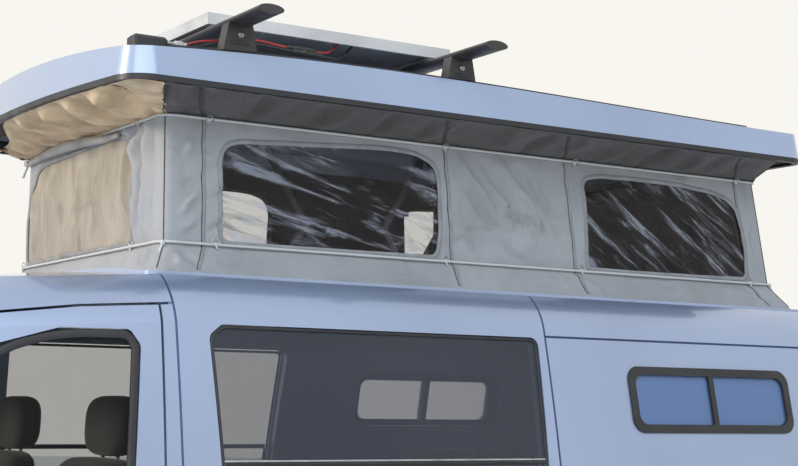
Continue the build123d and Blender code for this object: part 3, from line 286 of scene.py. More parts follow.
def paint(name, color, metallic=0.55):
    """Metallic paint or gelcoat under a clear coat."""
    made = material(name, color, 0.3, metallic, Coat_Weight=1.0, Coat_Roughness=0.04)
    mottle(made, noise(made, 1.3, 4), scaled(color, 0.86), color)
    layer(made, noise(made, 900, 2), scaled(color, 1.25), 0.6, 0.75, 0.35)
    spread(made, noise(made, 3, 6), "Roughness", 0.26, 0.38)
    bump(made, noise(made, 160, 2), 0.00004, 0.35)
    return made


def plastic(name, color, roughness, pores=900, depth=0.0002):
    """Moulded plastic or rubber with fine pores."""
    made = material(name, color, roughness)
    mottle(made, noise(made, 7, 6), color, scaled(color, 1.5, 0.006), 0.35, 0.75)
    spread(made, noise(made, 15, 5), "Roughness", roughness - 0.08, roughness + 0.12)
    bump(made, grain(made, pores), depth, 0.4)
    return made


def rough_metal(name, color, roughness, metallic, size, rust=None):
    """Cast, brushed or coated metal with stains of a size, and rust of a colour where given."""
    made = material(name, color, roughness, metallic)
    mottle(made, noise(made, size, 8), scaled(color, 0.6), color)
    if rust:
        layer(made, noise(made, size * 0.6, 10, Roughness=0.7), rust, 0.55, 0.68, 0.7)
    spread(made, noise(made, size * 2, 6), "Roughness", roughness - 0.1, roughness + 0.15)
    bump(made, noise(made, size * 20, 4), 0.0004, 0.4)
    return made


def pane(name, color, clear):
    """Glass whose see-through share is clear, less at a grazing view."""
    made = material(name, color, 0.02, Coat_Weight=0.6, Coat_Roughness=0.01)
    edge = put(made.node_tree, "Fresnel", IOR=1.5).outputs["Fac"]
    spread(made, edge, "Alpha", 1 - clear, 1, 0, 1)
    mottle(made, noise(made, 2.2, 5), color, scaled(color, 1, 0.03), 0.35, 0.8)
    spread(made, noise(made, 9, 7), "Roughness", 0.02, 0.07)
    return made


# silver paint with a slight blue of its own, made much bluer as a painted sky reflection
SILVER_WITH_PAINTED_SKY_BLUE = (0.37, 0.46, 0.67)
body_paint = paint("silver_paint_with_painted_sky_blue", SILVER_WITH_PAINTED_SKY_BLUE)
# the roof's gelcoat takes the same painted sky blue
gelcoat = paint("roof_gelcoat", (0.37, 0.46, 0.66), 0.35)
black_plastic = plastic("black_plastic", (0.018, 0.018, 0.02), 0.5)
dark_plastic = plastic("dash_plastic", (0.03, 0.029, 0.028), 0.6, 500, 0.0004)
rubber = plastic("seal_rubber", (0.014, 0.015, 0.019), 0.42, 1200)
track_black = plastic("anodised_track", (0.022, 0.022, 0.024), 0.38, 2500, 0.00005)
bar_black = plastic("bar_coating", (0.03, 0.027, 0.027), 0.4, 1600, 0.0001)
underbody = rough_metal("underbody_coating", (0.05, 0.05, 0.052), 0.7, 0.2, 12, (0.09, 0.07, 0.055))
cast = rough_metal("cast_metal", (0.22, 0.22, 0.22), 0.55, 0.8, 30, (0.12, 0.07, 0.04))
steel = rough_metal("zinc_steel", (0.42, 0.42, 0.42), 0.38, 0.9, 25)
aluminium = rough_metal("brushed_aluminium", (0.62, 0.63, 0.65), 0.36, 0.9, 18)
bright_frame = rough_metal("bright_frame", (0.80, 0.81, 0.83), 0.38, 0.45, 3)
alloy = rough_metal("alloy_lacquer", (0.52, 0.54, 0.57), 0.3, 0.75, 10)
shader_of(alloy).inputs["Coat Weight"].default_value = 0.8
clear_glass = pane("cab_glass", (0.010, 0.013, 0.013), 0.95)
# dark tinted glass, its blue partly a painted sky reflection
tinted_glass = pane("tinted_glass", (0.014, 0.034, 0.080), 0.70)
shader_of(tinted_glass).inputs["IOR"].default_value = 1.75
# a painted sky reflection: the rear caravan panes are painted a light blue
for edge in (0.78, -0.78):
    caravan_sky_reflection = both(tinted_glass, zone(tinted_glass, "Y", 1.2, 1.22), zone(tinted_glass, "X", edge, 1.03 * edge))
    layer(tinted_glass, caravan_sky_reflection, (0.25, 0.40, 0.71), 0, 1)
liner = plastic("brown_liner", (0.05, 0.035, 0.028), 0.85, 300, 0.001)

tyre_rubber = plastic("tyre_rubber", (0.02, 0.02, 0.021), 0.72, 700, 0.0003)
layer(tyre_rubber, noise(tyre_rubber, 14, 8), (0.11, 0.095, 0.08), 0.52, 0.78, 0.5)

lamp_lens = material("headlamp_lens", (0.55, 0.57, 0.6), 0.12, 0.5, Coat_Weight=1.0, Coat_Roughness=0.02)
tones(lamp_lens, grain(lamp_lens, 26),
      (0.1, (0.75, 0.77, 0.8)), (0.45, (0.4, 0.42, 0.45)), (0.8, (0.12, 0.13, 0.14)))
bump(lamp_lens, weave(lamp_lens, 40, (1, 0.1, 1)), 0.001, 0.5)
lamp_low, lamp_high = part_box("headlamps")
# the chrome reflector bowls behind the lens, painted as rings: a dark middle at the bulb and bright and mid rings of
# painted reflection
BOWL_REFLECTION_RINGS = ((0.02, (0.10, 0.105, 0.11)), (0.18, (0.80, 0.82, 0.85)), (0.47, (0.42, 0.44, 0.47)),
              (0.76, (0.92, 0.93, 0.95)))
for side in (1, -1):
    for inset, bowl in ((0.085, 0.062), (0.215, 0.070)):
        middle = (side * (lamp_high.x - inset), lamp_low.y + 0.06 + 0.35 * (0.22 - inset),
                  (lamp_low.z + lamp_high.z) / 2)
        for start, shade in BOWL_REFLECTION_RINGS:
            layer(lamp_lens, spot(lamp_lens, middle, bowl), shade, start, start + 0.06)
mirror_glass = material("mirror_silver", (0.72, 0.74, 0.76), 0.03, 1.0)
mottle(mirror_glass, noise(mirror_glass, 4, 4), (0.66, 0.68, 0.71), (0.76, 0.78, 0.80))
red_lens = material("tail_lamp_lens", (0.42, 0.012, 0.012), 0.12, Coat_Weight=1.0, Coat_Roughness=0.02)
mottle(red_lens, weave(red_lens, 1.15, (0, 0, 1)), (0.42, 0.012, 0.012), (0.62, 0.55, 0.5), 0.72, 0.78)
bump(red_lens, weave(red_lens, 60, (0.2, 0.2, 1)), 0.0008, 0.6)

canvas = material("tent_canvas", (0.40, 0.39, 0.37), 0.85, Sheen_Weight=0.15, Sheen_Roughness=0.6)
tones(canvas, noise(canvas, 2.6, 7, Roughness=0.6),
      (0.3, (0.31, 0.315, 0.33)), (0.5, (0.37, 0.378, 0.40)), (0.72, (0.425, 0.432, 0.45)))
layer(canvas, noise(canvas, 11, 9, (1, 1, 2.2), Roughness=0.7), (0.235, 0.225, 0.215), 0.56, 0.78, 0.55)
for along, height, reach in ((0.99, 2.115, 0.06), (1.03, 2.104, 0.07), (1.08, 2.096, 0.07), (1.12, 2.092, 0.045)):
    layer(canvas, spot(canvas, (0.57, along, height), reach, 45), (0.12, 0.115, 0.11), 0.2, 0.55, 0.42)
layer(canvas, spot(canvas, (0.57, 0.985, 2.145), 0.018, 120), (0.06, 0.06, 0.06), 0.2, 0.4, 0.9)
# painted shade on the high band's sides and rear, and painted sunlight on its tan front
front_band = band_painted_light(canvas, (0.042, 0.032, 0.028), (0.90, 0.675, 0.415))
layer(canvas, both(canvas, front_band, noise(canvas, 9, 6, (2.2, 1, 0.6))), (0.40, 0.27, 0.15), 0.40, 0.66, 0.8)
layer(canvas, noise(canvas, 420, 1), (0.52, 0.51, 0.49), 0.5, 0.75, 0.25)
spread(canvas, noise(canvas, 30, 4), "Roughness", 0.78, 0.95)
bump(canvas, noise(canvas, 14, 8, (1, 1, 0.6), Distortion=0.6), 0.008, 0.65)
for stretch in ((1, 1, 0), (0, 0, 1)):
    bump(canvas, weave(canvas, 260, stretch, Distortion=0.3), 0.0004, 0.35)

hem_canvas = material("hem_canvas", (0.36, 0.352, 0.338), 0.85)
mottle(hem_canvas, noise(hem_canvas, 22, 6), (0.27, 0.275, 0.285), (0.36, 0.366, 0.38))
# the same painted shade and painted sunlight on the hems in the high band
band_painted_light(hem_canvas, (0.075, 0.064, 0.058), (0.62, 0.45, 0.28))
bump(hem_canvas, weave(hem_canvas, 320, (1, 1, 1), Distortion=0.4), 0.0004, 0.5)
warm_canvas = material("flap_canvas", (0.44, 0.43, 0.41), 0.85)
mottle(warm_canvas, noise(warm_canvas, 9, 7), (0.36, 0.345, 0.32), (0.50, 0.485, 0.46))
bump(warm_canvas, noise(warm_canvas, 28, 5), 0.003, 0.5)
thread = material("seam_thread", (0.035, 0.033, 0.032), 0.8)
mottle(thread, weave(thread, 160, (1, 1, 1), Distortion=1.0), (0.02, 0.02, 0.02), (0.10, 0.098, 0.095), 0.4, 0.7)

lining = material("tent_lining", (0.045, 0.034, 0.028), 0.95)
mottle(lining, noise(lining, 3, 6), (0.03, 0.022, 0.018), (0.065, 0.046, 0.036))
bump(lining, noise(lining, 18, 5), 0.008, 0.6)

net = material("window_net", (0.30, 0.265, 0.22), 0.8)
tones(net, noise(net, 5, 7, (1.6, 1.6, 0.5), Distortion=0.8),
      (0.3, (0.27, 0.235, 0.19)), (0.5, (0.40, 0.35, 0.29)), (0.72, (0.52, 0.46, 0.385)))
bump(net, noise(net, 7, 4, (1.8, 1.8, 0.25), Distortion=0.7), 0.012, 0.7)
bump(net, grain(net, 650), 0.0005, 0.6)


def film_with_painted_glints(name, slope, scale, across):
    """Clear film with creases that fall to the rear at an angle, drawn as painted reflections: bright streaks that are
    lighter and less see-through.
    """
    made = material(name, (0.05, 0.045, 0.05), 0.08, Coat_Weight=0.8, Coat_Roughness=0.06)
    painted_glint_streaks = noise(made, scale, 9, (0.6, 0.42, across), (math.radians(-slope), 0, 0), Roughness=0.66, Distortion=0.55)
    # the bright bluish stops are painted reflections off the creases
    tones(made, painted_glint_streaks, (0.50, (0.030, 0.024, 0.026)), (0.555, (0.12, 0.12, 0.15)), (0.63, (0.34, 0.37, 0.45)))
    spread(made, painted_glint_streaks, "Alpha", 0.26, 0.66, 0.51, 0.62)
    spread(made, painted_glint_streaks, "Roughness", 0.06, 0.25, 0.45, 0.65)
    bump(made, painted_glint_streaks, 0.014, 0.5)
    return made


steep_film = film_with_painted_glints("vinyl_film_rear", 34, 7.5, 3.3)
flat_film = film_with_painted_glints("vinyl_film_front", 15, 8.5, 3.0)

white_cord = material("elastic_cord", (0.70, 0.70, 0.68), 0.7)
braiding = weave(white_cord, 95, (1, 1, 1), (0.6, 0.6, 0.6), Distortion=0.6)
mottle(white_cord, braiding, (0.52, 0.52, 0.52), (0.86, 0.86, 0.84), 0.25, 0.6)
bump(white_cord, braiding, 0.0012, 0.8)

seat_cloth = material("seat_cloth", (0.035, 0.033, 0.032), 0.85, Sheen_Weight=0.2)
mottle(seat_cloth, noise(seat_cloth, 260, 3), (0.022, 0.021, 0.021), (0.06, 0.056, 0.052), 0.35, 0.7)
bump(seat_cloth, grain(seat_cloth, 420), 0.0008, 0.7)
bench_cloth = material("bench_leather", (0.12, 0.028, 0.018), 0.55)
mottle(bench_cloth, noise(bench_cloth, 6, 7), (0.075, 0.018, 0.012), (0.16, 0.04, 0.025))
bump(bench_cloth, grain(bench_cloth, 260), 0.0009, 0.6)
spread(bench_cloth, noise(bench_cloth, 12, 5), "Roughness", 0.42, 0.62)

red_sleeve = plastic("red_lead_sleeve", (0.42, 0.04, 0.035), 0.42, 1500, 0.00005)
black_sleeve = plastic("black_lead_sleeve", (0.02, 0.019, 0.02), 0.42, 1500, 0.00005)
white_plastic = plastic("white_connector", (0.62, 0.61, 0.58), 0.45, 1200, 0.00005)

cells = material("solar_cells", (0.012, 0.014, 0.03), 0.14, Coat_Weight=1.0, Coat_Roughness=0.02)
cell_lines = texture(cells, "Brick", 1.0, Mortar_Size=0.0016, Mortar_Smooth=0.1, Bias=0.0, Brick_Width=0.1055,
                     Row_Height=0.1055)
mottle(cells, cell_lines, (0.010, 0.013, 0.030), (0.30, 0.31, 0.33), 0.1, 0.6)
back_sheet = material("panel_back_sheet", (0.12, 0.115, 0.115), 0.6)
mottle(back_sheet, noise(back_sheet, 12, 5), (0.36, 0.35, 0.35), (0.46, 0.45, 0.44))

FINISHES = {
    "paint": body_paint, "roof_gelcoat": gelcoat, "underbody": underbody, "black_plastic": black_plastic,
    "dark_plastic": dark_plastic, "lamp_clear": lamp_lens, "lamp_red": red_lens, "glass": clear_glass,
    "dark_glass": tinted_glass, "seat_fabric": seat_cloth, "bench_fabric": bench_cloth, "cast_metal": cast,
    "steel": steel, "aluminium": aluminium, "canvas": canvas, "cord": white_cord, "rubber": rubber,
    "liner": liner, "track": track_black, "black_bar": bar_black, "panel_frame": bright_frame,
    "lead_red": red_sleeve, "lead_black": black_sleeve, "tyre": tyre_rubber, "rim_alloy": alloy,
}
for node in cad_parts.values():
    for number, worn in enumerate(node.data.materials):
        node.data.materials[number] = FINISHES[worn.name.split(".")[0]]
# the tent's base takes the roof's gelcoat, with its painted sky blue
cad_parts["tent_base"].data.materials[0] = gelcoat


# ---------------------------------------------------------------- mesh helpers

WAIST = 0.04  # how far the sides of a cushion pull in, as a share


def piece(name, points, faces, finish, body, slot_name, in_mm=True):
    """A mesh piece that rides on a CAD body."""
    mesh = bpy.data.meshes.new(name)
    places = to_frame(points) if in_mm else np.asarray(points, float)
    mesh.from_pydata([tuple(p) for p in places], [], [tuple(int(i) for i in f) for f in faces])
    mesh.update()
    mesh.materials.append(finish)
    mesh.polygons.foreach_set("use_smooth", [True] * len(mesh.polygons))
    made = placed(name, mesh)
    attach(made, body)
    return made


def grid_faces(rows, columns, around=False):
    """Faces of a grid of points given row by row; around joins the last column to the first."""
    last = columns if around else columns - 1
    return [(r * columns + c, r * columns + (c + 1) % columns, (r + 1) * columns + (c + 1) % columns,
             (r + 1) * columns + c) for r in range(rows - 1) for c in range(last)]


def tube_grid(path, radius, sides=8, closed=False):
    """Points and faces of a tube of that radius (or radii) along a path."""
    path = np.asarray(path, float)
    count = len(path)
    radii = np.broadcast_to(np.asarray(radius, float), (count,))
    if closed:
        ahead = np.roll(path, -1, 0) - np.roll(path, 1, 0)
    else:
        ahead = np.gradient(path, axis=0)
    ahead /= np.linalg.norm(ahead, axis=1)[:, None]
    start = np.array([0, 0, 1.0]) if abs(ahead[0][2]) < 0.9 else np.array([1.0, 0, 0])
    points = []
    for place, run, reach in zip(path, ahead, radii):
        start = start - run * (start @ run)
        start /= np.linalg.norm(start)
        other = np.cross(run, start)
        points += [place + reach * (c * start + s * other) for c, s in turns(sides)]
    faces = grid_faces(count, sides, True)
    if closed:
        faces += [((count - 1) * sides + k, (count - 1) * sides + (k + 1) % sides, (k + 1) % sides, k)
                  for k in range(sides)]
    else:
        faces += [tuple(range(sides - 1, -1, -1)), tuple((count - 1) * sides + k for k in range(sides))]
    return points, faces


def joined(parts):
    """One list of points and faces from several."""
    points, faces = [], []
    for more, cells_of in parts:
        faces += [tuple(i + len(points) for i in f) for f in cells_of]
        points += list(more)
    return points, faces


def torus(middle, axis, radius, gauge):
    """A ring about an axis."""
    axis = Vector(axis).normalized()
    one = axis.orthogonal().normalized()
    two = axis.cross(one)
    path = [tuple(Vector(middle) + radius * (c * one + s * two)) for c, s in turns(20)]
    return tube_grid(path, gauge, 8, True)


def block(low, high, corner, steps=3):
    """A box with rounded edges, as points and faces."""
    made = bmesh.new()
    bmesh.ops.create_cube(made, size=1)
    low, high = Vector(low), Vector(high)
    for vertex in made.verts:
        vertex.co = Vector([(low[i] + high[i]) / 2 + vertex.co[i] * (high[i] - low[i]) for i in range(3)])
    bmesh.ops.bevel(made, geom=made.edges[:], offset=corner, segments=steps, profile=0.5, affect="EDGES")
    made.verts.index_update()
    points = [tuple(v.co) for v in made.verts]
    faces = [tuple(v.index for v in f.verts) for f in made.faces]
    made.free()
    return points, faces


def blob(middle, reach, power, rings, sides):
    """A closed rounded form, from an egg at power 2 to a crowned box above it."""
    middle, reach = np.array(middle, float), np.array(reach, float)
    points = []
    for r in range(1, rings):
        tilt = math.pi * r / rings - math.pi / 2
        for c, s in turns(sides):
            way = np.array([math.cos(tilt) * c, math.cos(tilt) * s, math.sin(tilt)])
            size = (np.abs(way) ** power).sum() ** (-1 / power)
            points.append(middle + way * size * reach)
    faces = grid_faces(rings - 1, sides, True)
    points += [middle - np.array([0, 0, reach[2]]), middle + np.array([0, 0, reach[2]])]
    low, high = len(points) - 2, len(points) - 1
    faces += [(low, (s + 1) % sides, s) for s in range(sides)]
    first = (rings - 2) * sides
    faces += [(high, first + s, first + (s + 1) % sides) for s in range(sides)]
    return points, faces


def cushion(low, high, power, lean=0.0):
    """A crowned pad in a box: its sides pull in between the corners, and it leans rearwards with height."""
    low, high = np.array(low, float), np.array(high, float)
    middle, reach = (low + high) / 2, (high - low) / 2
    made = []
    points, faces = blob((0, 0, 0), (1, 1, 1), power, 26, 52)
    for x, y, z in points:
        pull = 1 - WAIST * (1 - min(1, abs(x)) ** 2) * (1 if abs(z) < 0.98 else 0)
        side_pull = 1 - WAIST * (1 - min(1, abs(y)) ** 2)
        place = middle + np.array([x * side_pull, y * pull, z]) * reach
        place[1] += lean * (place[2] - middle[2])
        made.append(place)
    return made, faces


# ---------------------------------------------------------------- solar leads

LEAD_RADIUS = 0.0035  # metres


def lead(name, route, finish, node):
    """A free lead as a smooth NURBS curve whose control points are the route's."""
    curve = bpy.data.curves.new(name, "CURVE")
    curve.dimensions = "3D"
    line = curve.splines.new("NURBS")
    line.points.add(len(route) - 1)
    for point, place in zip(line.points, route):
        point.co = (*at(*place), 1)
    line.order_u = 3
    line.use_endpoint_u = True
    line.resolution_u = 12
    curve.bevel_depth = LEAD_RADIUS
    curve.bevel_resolution = 4
    curve.materials.append(finish)
    made = placed(name, curve)
    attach(made, "pop_top")
    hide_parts(node)


def connector(name, start, end):
    """A two-part plug in a lead: ribbed nuts at both ends of a waisted body."""
    start, end = np.array(start, float), np.array(end, float)
    places = [0, 0.02, 0.03, 0.2, 0.22, 0.24, 0.45, 0.47, 0.53, 0.55, 0.78, 0.8, 0.82, 0.97, 0.98, 1]
    radii = [4.2, 7, 8.2, 8.2, 7, 9, 9.5, 7.5, 7.5, 9.5, 9, 7, 8.2, 8.2, 7, 4.2]
    path = [start + (end - start) * t for t in places]
    return piece(name, *tube_grid(path, radii, 12), black_plastic, "pop_top", "black_plastic")


red_route = [
    (594, 1440.4, 2500), (594, 1482, 2500), (588, 1545, 2532), (580, 1640, 2546), (572, 1745, 2566),
    (566, 1830, 2557), (560, 1965, 2557), (505, 2030, 2574), (478, 2085, 2626),
]
black_route = [
    (606, 1440.4, 2496), (608, 1485, 2496), (606, 1560, 2516), (598, 1640, 2535), (590, 1740, 2548),
    (584, 1850, 2543), (576, 1985, 2541), (512, 2060, 2556), (470, 2140, 2626),
]
red_plug = connector("red_lead_plug", (565.5, 1845, 2557), (560.8, 1950, 2557))
black_plug = connector("black_lead_plug", (583.5, 1858, 2543), (577, 1962, 2541.2))
lead("lead_red", red_route, red_sleeve, "solar_lead_red")
lead("lead_black", black_route, black_sleeve, "solar_lead_black")


# ---------------------------------------------------------------- canvas tent

# heights of the wall's foot, the skirt's top and the high band's lower and upper edge, and of the cords (mm)
FOOT, SKIRT_TOP, BAND_LOW, BAND_HIGH = 1864, 1946, 2322, 2366
LOW_CORD, HIGH_CORD = 1953, 2315
MIDDLE = 2134
RINGS = np.array([  # height, half width, front and rear
    (FOOT, 647, 1407, 3868), (SKIRT_TOP, 573, 1460, 3828), (BAND_LOW, 560, 1460, 3764), (BAND_HIGH, 748, 1288, 3706),
], float)
CORNER = 40
CORNER_INSET = 0.2929 * CORNER  # how far the middle of a rounded corner lies inside its tip
SHEET_EDGE, SHEET_STEP, SHEET_BEHIND = 9, 9, 3.2
SEAM_LEVELS = np.linspace(1872, 2362, 76)
SEAMS = [1582, 2430, 2915, 3690]  # places of the upright seams along the sides
SIDE_LEFT, REAR, SIDE_RIGHT, FRONT = range(4)
SIDES = (SIDE_LEFT, SIDE_RIGHT)


def ring_at(z):
    """Half width, front and rear of the tent at heights."""
    return tuple(np.interp(z, RINGS[:, 0], RINGS[:, k]) for k in (1, 2, 3))


def bow(a, z):
    """How far the top of the front wall curves forward with the roof's edge."""
    retreat = 125 * smooth_step(-np.asarray(a, float), 60, 560)
    return (retreat - 66 * (1 - np.clip(np.abs(a) / 757, 0, 1) ** 2)) * smooth_step(z, BAND_LOW, BAND_HIGH)


def far_half(z):
    """Half width of the tent on the right, where its top hangs inside the roof's edge."""
    return ring_at(z)[0] - 112 * smooth_step(z, BAND_LOW, BAND_HIGH)


def smooth_step(v, low, high):
    """0 below low, 1 above high, and smooth between."""
    t = np.clip((v - low) / (high - low), 0, 1)
    return t * t * (3 - 2 * t)


def along_side(a, front, rear):
    """A place given for the side's full length, at the same share of a ring's length."""
    return front + (a - 1460) / (3805 - 1460) * (rear - front)


def ridges(a, z, lines):
    """Folds along straight lines (a0, z0, a1, z1, width, height) in a wall's own plane."""
    total = np.zeros_like(a)
    for a0, z0, a1, z1, width, height in lines:
        run = np.array([a1 - a0, z1 - z0])
        length = np.hypot(*run)
        along = ((a - a0) * run[0] + (z - z0) * run[1]) / length
        across = ((a - a0) * -run[1] + (z - z0) * run[0]) / length
        across = across + 6 * np.sin(along / 37)
        taper = smooth_step(along, -0.1 * length, 0.25 * length)
        taper = taper * (1 - smooth_step(along, 0.7 * length, 1.12 * length))
        total += height * taper * np.exp(-(across / width) ** 2)
    return total


def ripple(a, z, seed):
    """A gentle unevenness from a sum of waves in many directions."""
    chance = np.random.default_rng(seed)
    total = np.zeros_like(a)
    for _ in range(16):
        size = chance.uniform(70, 420)
        turn = chance.uniform(0, math.pi)
        phase = chance.uniform(0, 2 * math.pi)
        bend = chance.uniform(30, 90)
        total += size / 420 * np.sin(
            2 * math.pi * (a * math.cos(turn) + z * math.sin(turn) + bend * np.sin((a - 2 * z) / 310 + phase)) / size
            + phase)
    return total / 3


PANEL_FOLDS = [
    # between the front corner and the first seam, rising to the rear
    (1468, 2005, 1590, 2120, 9, 4.5), (1475, 1972, 1575, 2030, 8, 3.5), (1500, 2105, 1640, 2190, 10, -4),
    (1560, 2085, 1645, 2128, 7, 4), (1470, 2150, 1560, 2250, 12, 3), (1590, 1985, 1650, 2030, 7, -3.5),
    (1520, 2215, 1580, 2310, 10, 3),
    # blank middle panel, falling to the rear
    (2470, 2290, 2620, 2080, 13, 5), (2560, 2300, 2760, 2040, 14, -5), (2620, 2298, 2800, 2090, 12, 4.5),
    (2700, 2290, 2880, 2060, 13, -4), (2760, 2250, 2850, 2120, 8, 5), (2500, 2190, 2600, 2060, 9, -4),
    (2640, 2180, 2760, 2020, 10, 4), (2440, 2150, 2520, 1990, 9, 3.5), (2450, 2063, 2900, 2070, 5, -3),
    (2600, 2050, 2740, 1975, 8, 3), (2660, 2165, 2690, 2110, 5, -4),
    # narrow strips beside the windows
    (2405, 2050, 2440, 1975, 6, 3), (2400, 2180, 2425, 2100, 6, -3), (2440, 2000, 2475, 2040, 6, -3),
    (2925, 2240, 2960, 2100, 7, 2.5), (2935, 2050, 2960, 1975, 6, -2.5),
    # behind the rear window
    (3708, 2290, 3745, 2120, 9, 4), (3720, 2160, 3775, 1990, 9, -4), (3735, 2080, 3790, 1965, 8, 4),
    # low band
    (1470, 1940, 1500, 1885, 9, 5), (1500, 1942, 1560, 1880, 10, -4), (1440, 1935, 1425, 1880, 9, -4),
    (2440, 1940, 2470, 1880, 9, 3), (2920, 1940, 3010, 1885, 9, 4), (3560, 1935, 3700, 1880, 12, 5),
    (3650, 1940, 3790, 1885, 10, -4),
    # high band
    (1395, 2322, 1345, 2376, 15, 6), (1432, 2322, 1378, 2376, 15, -6), (1470, 2322, 1412, 2376, 17, 6),
    (1540, 2322, 1450, 2376, 20, -5), (1640, 2324, 1560, 2376, 22, 5), (1730, 2324, 1690, 2376, 26, -5),
    (1950, 2324, 1990, 2376, 30, 4), (2150, 2324, 2110, 2376, 24, -4), (2300, 2324, 2350, 2376, 28, 5),
    (2600, 2324, 2560, 2376, 26, 5), (2700, 2324, 2735, 2376, 22, -5), (2850, 2324, 2870, 2376, 24, 4),
    (3020, 2324, 3060, 2376, 26, 5), (3180, 2324, 3230, 2376, 22, -4), (3380, 2324, 3350, 2376, 26, 4),
]
FRONT_FOLDS = [
    # upright pleats beside the net window
    (395, 2300, 385, 1985, 10, 5), (430, 2312, 410, 2010, 9, -4), (465, 2312, 450, 1975, 10, 5),
    (495, 2316, 500, 1960, 9, -4), (-550, 2290, -545, 1975, 7, 3),
    # fold from the upper corner to the net
    (420, 2290, 360, 2180, 12, 5), (350, 2312, 300, 2290, 8, 4),
    # gathers of the high band
    (-500, 2324, -590, 2376, 18, 6), (-440, 2324, -500, 2376, 20, -6), (-370, 2322, -400, 2376, 20, 7),
    (-290, 2322, -300, 2376, 19, -6), (-210, 2322, -200, 2376, 22, 7), (-130, 2322, -110, 2376, 19, -6),
    (-50, 2322, -20, 2376, 22, 7), (40, 2322, 80, 2376, 20, -7), (120, 2322, 175, 2376, 21, 7),
    (195, 2322, 270, 2376, 20, -7), (275, 2322, 370, 2376, 22, 8), (350, 2322, 465, 2376, 20, -7),
    (420, 2322, 555, 2376, 21, 8), (480, 2322, 640, 2376, 18, -7),
    # low band
    (520, 1942, 560, 1885, 9, 5), (470, 1942, 500, 1890, 9, -4), (380, 1940, 370, 1890, 10, 3),
    (-300, 1942, -330, 1888, 11, 3),
]


def wall_relief(side, a, z):
    """How far a wall of the tent stands out at a place along it (mm)."""
    lines = FRONT_FOLDS if side == FRONT else PANEL_FOLDS
    if side == REAR:
        lines = [(x0, z0, x1, z1, w, -h) for x0, z0, x1, z1, w, h in FRONT_FOLDS if z0 > 2320 or z0 < 1950]
    half, front, rear = ring_at(z)
    if side in SIDES:
        first, last = front + CORNER, rear - CORNER
    else:
        first, last = CORNER - half, half - CORNER
    ends = smooth_step(a, first, first + CORNER) * (1 - smooth_step(a, last - CORNER, last))
    belly = 5 * np.sin(math.pi * np.clip((z - 1960) / 350, 0, 1))
    relief = (4.1 * ridges(a, z, lines) + 6 * ripple(a, z, 11 + side)
              + 2.2 * ripple(2.6 * a, 2.6 * z, 21 + side) + belly)
    gathers = smooth_step(z, 2324, 2338) * (1 - smooth_step(z, 2352, BAND_HIGH))
    relief += gathers * (5 if side == FRONT else 3) * np.sin(a / 31 + 1.9 * np.sin(a / 61) + z / 17)
    held = np.clip(sum(np.exp(-((z - cord) / 13) ** 2) for cord in (LOW_CORD, HIGH_CORD)), 0, 1)
    foot = smooth_step(z, 1866, 1890) * (1 - smooth_step(z, 2357, BAND_HIGH))
    if side in SIDES:
        for seam in SEAMS:
            line = along_side(seam + 4, front, rear)
            relief = relief * (1 - 0.7 * np.exp(-((a - line) / 24) ** 2))
    return relief * ends * (1 - held) * (0.03 + 0.97 * foot) - 2.6 * held * ends


def wall_out(z):
    """The outward and upward parts of a wall's normal at a height."""
    steep = np.where(z < MIDDLE, np.interp(z, [1925, 1967], [0.62, 0.03]),
                     np.interp(z, [2300, 2340], [-0.03, -0.9]))
    flat = np.sqrt(1 - np.clip(np.abs(steep), 0, 0.99) ** 2)
    return flat, steep


def wall(side, a, z, lift=0.0, relief=True):
    """Places on a wall of the tent; a runs along the van on the sides and across it at the ends (mm)."""
    a, z = np.broadcast_arrays(np.asarray(a, float), np.asarray(z, float))
    half, front, rear = ring_at(z)
    out = (wall_relief(side, a, z) if relief else 0) + lift
    flat, steep = wall_out(z)
    up = z + out * steep
    if side == SIDE_LEFT:
        return np.stack([half + out * flat, a, up], -1)
    if side == SIDE_RIGHT:
        return np.stack([-far_half(z) - out * flat, a, up], -1)
    if side == FRONT:
        return np.stack([a, front + bow(a, z) - out * flat, up], -1)
    return np.stack([a, rear + out * flat, up], -1)


def evened(path, step, more=0):
    """A closed path again, by evenly spaced points."""
    path = np.array([*path, path[0]])
    marks = np.concatenate([[0], np.cumsum(np.linalg.norm(np.diff(path, axis=0), axis=1))])
    even = np.linspace(0, marks[-1], max(12, int(marks[-1] / step)) + more)[:-1]
    return np.stack([np.interp(even, marks, column) for column in path.T], -1)


def rounded(outline, corner, step=7):
    """A closed outline with rounded corners, as evenly spaced points."""
    outline = [np.array(p, float) for p in outline]
    path = []
    for k, here in enumerate(outline):
        before, after = outline[k - 1], outline[(k + 1) % len(outline)]
        reach = min(corner if np.isscalar(corner) else corner[k], 0.45 * np.linalg.norm(before - here),
                    0.45 * np.linalg.norm(after - here))
        start = here + (before - here) / np.linalg.norm(before - here) * reach
        end = here + (after - here) / np.linalg.norm(after - here) * reach
        path += [(1 - t) ** 2 * start + 2 * t * (1 - t) * here + t * t * end for t in np.linspace(0, 1, 9)]
    return evened(path, step, 1)


def outward(outline):
    """In-plane normals of a closed outline that point away from its middle."""
    ahead = np.roll(outline, -1, 0) - np.roll(outline, 1, 0)
    normal = np.stack([ahead[:, 1], -ahead[:, 0]], -1)
    normal /= np.linalg.norm(normal, axis=1)[:, None]
    area = np.sum(outline[:, 0] * np.roll(outline[:, 1], -1) - np.roll(outline[:, 0], -1) * outline[:, 1])
    return normal if area > 0 else -normal


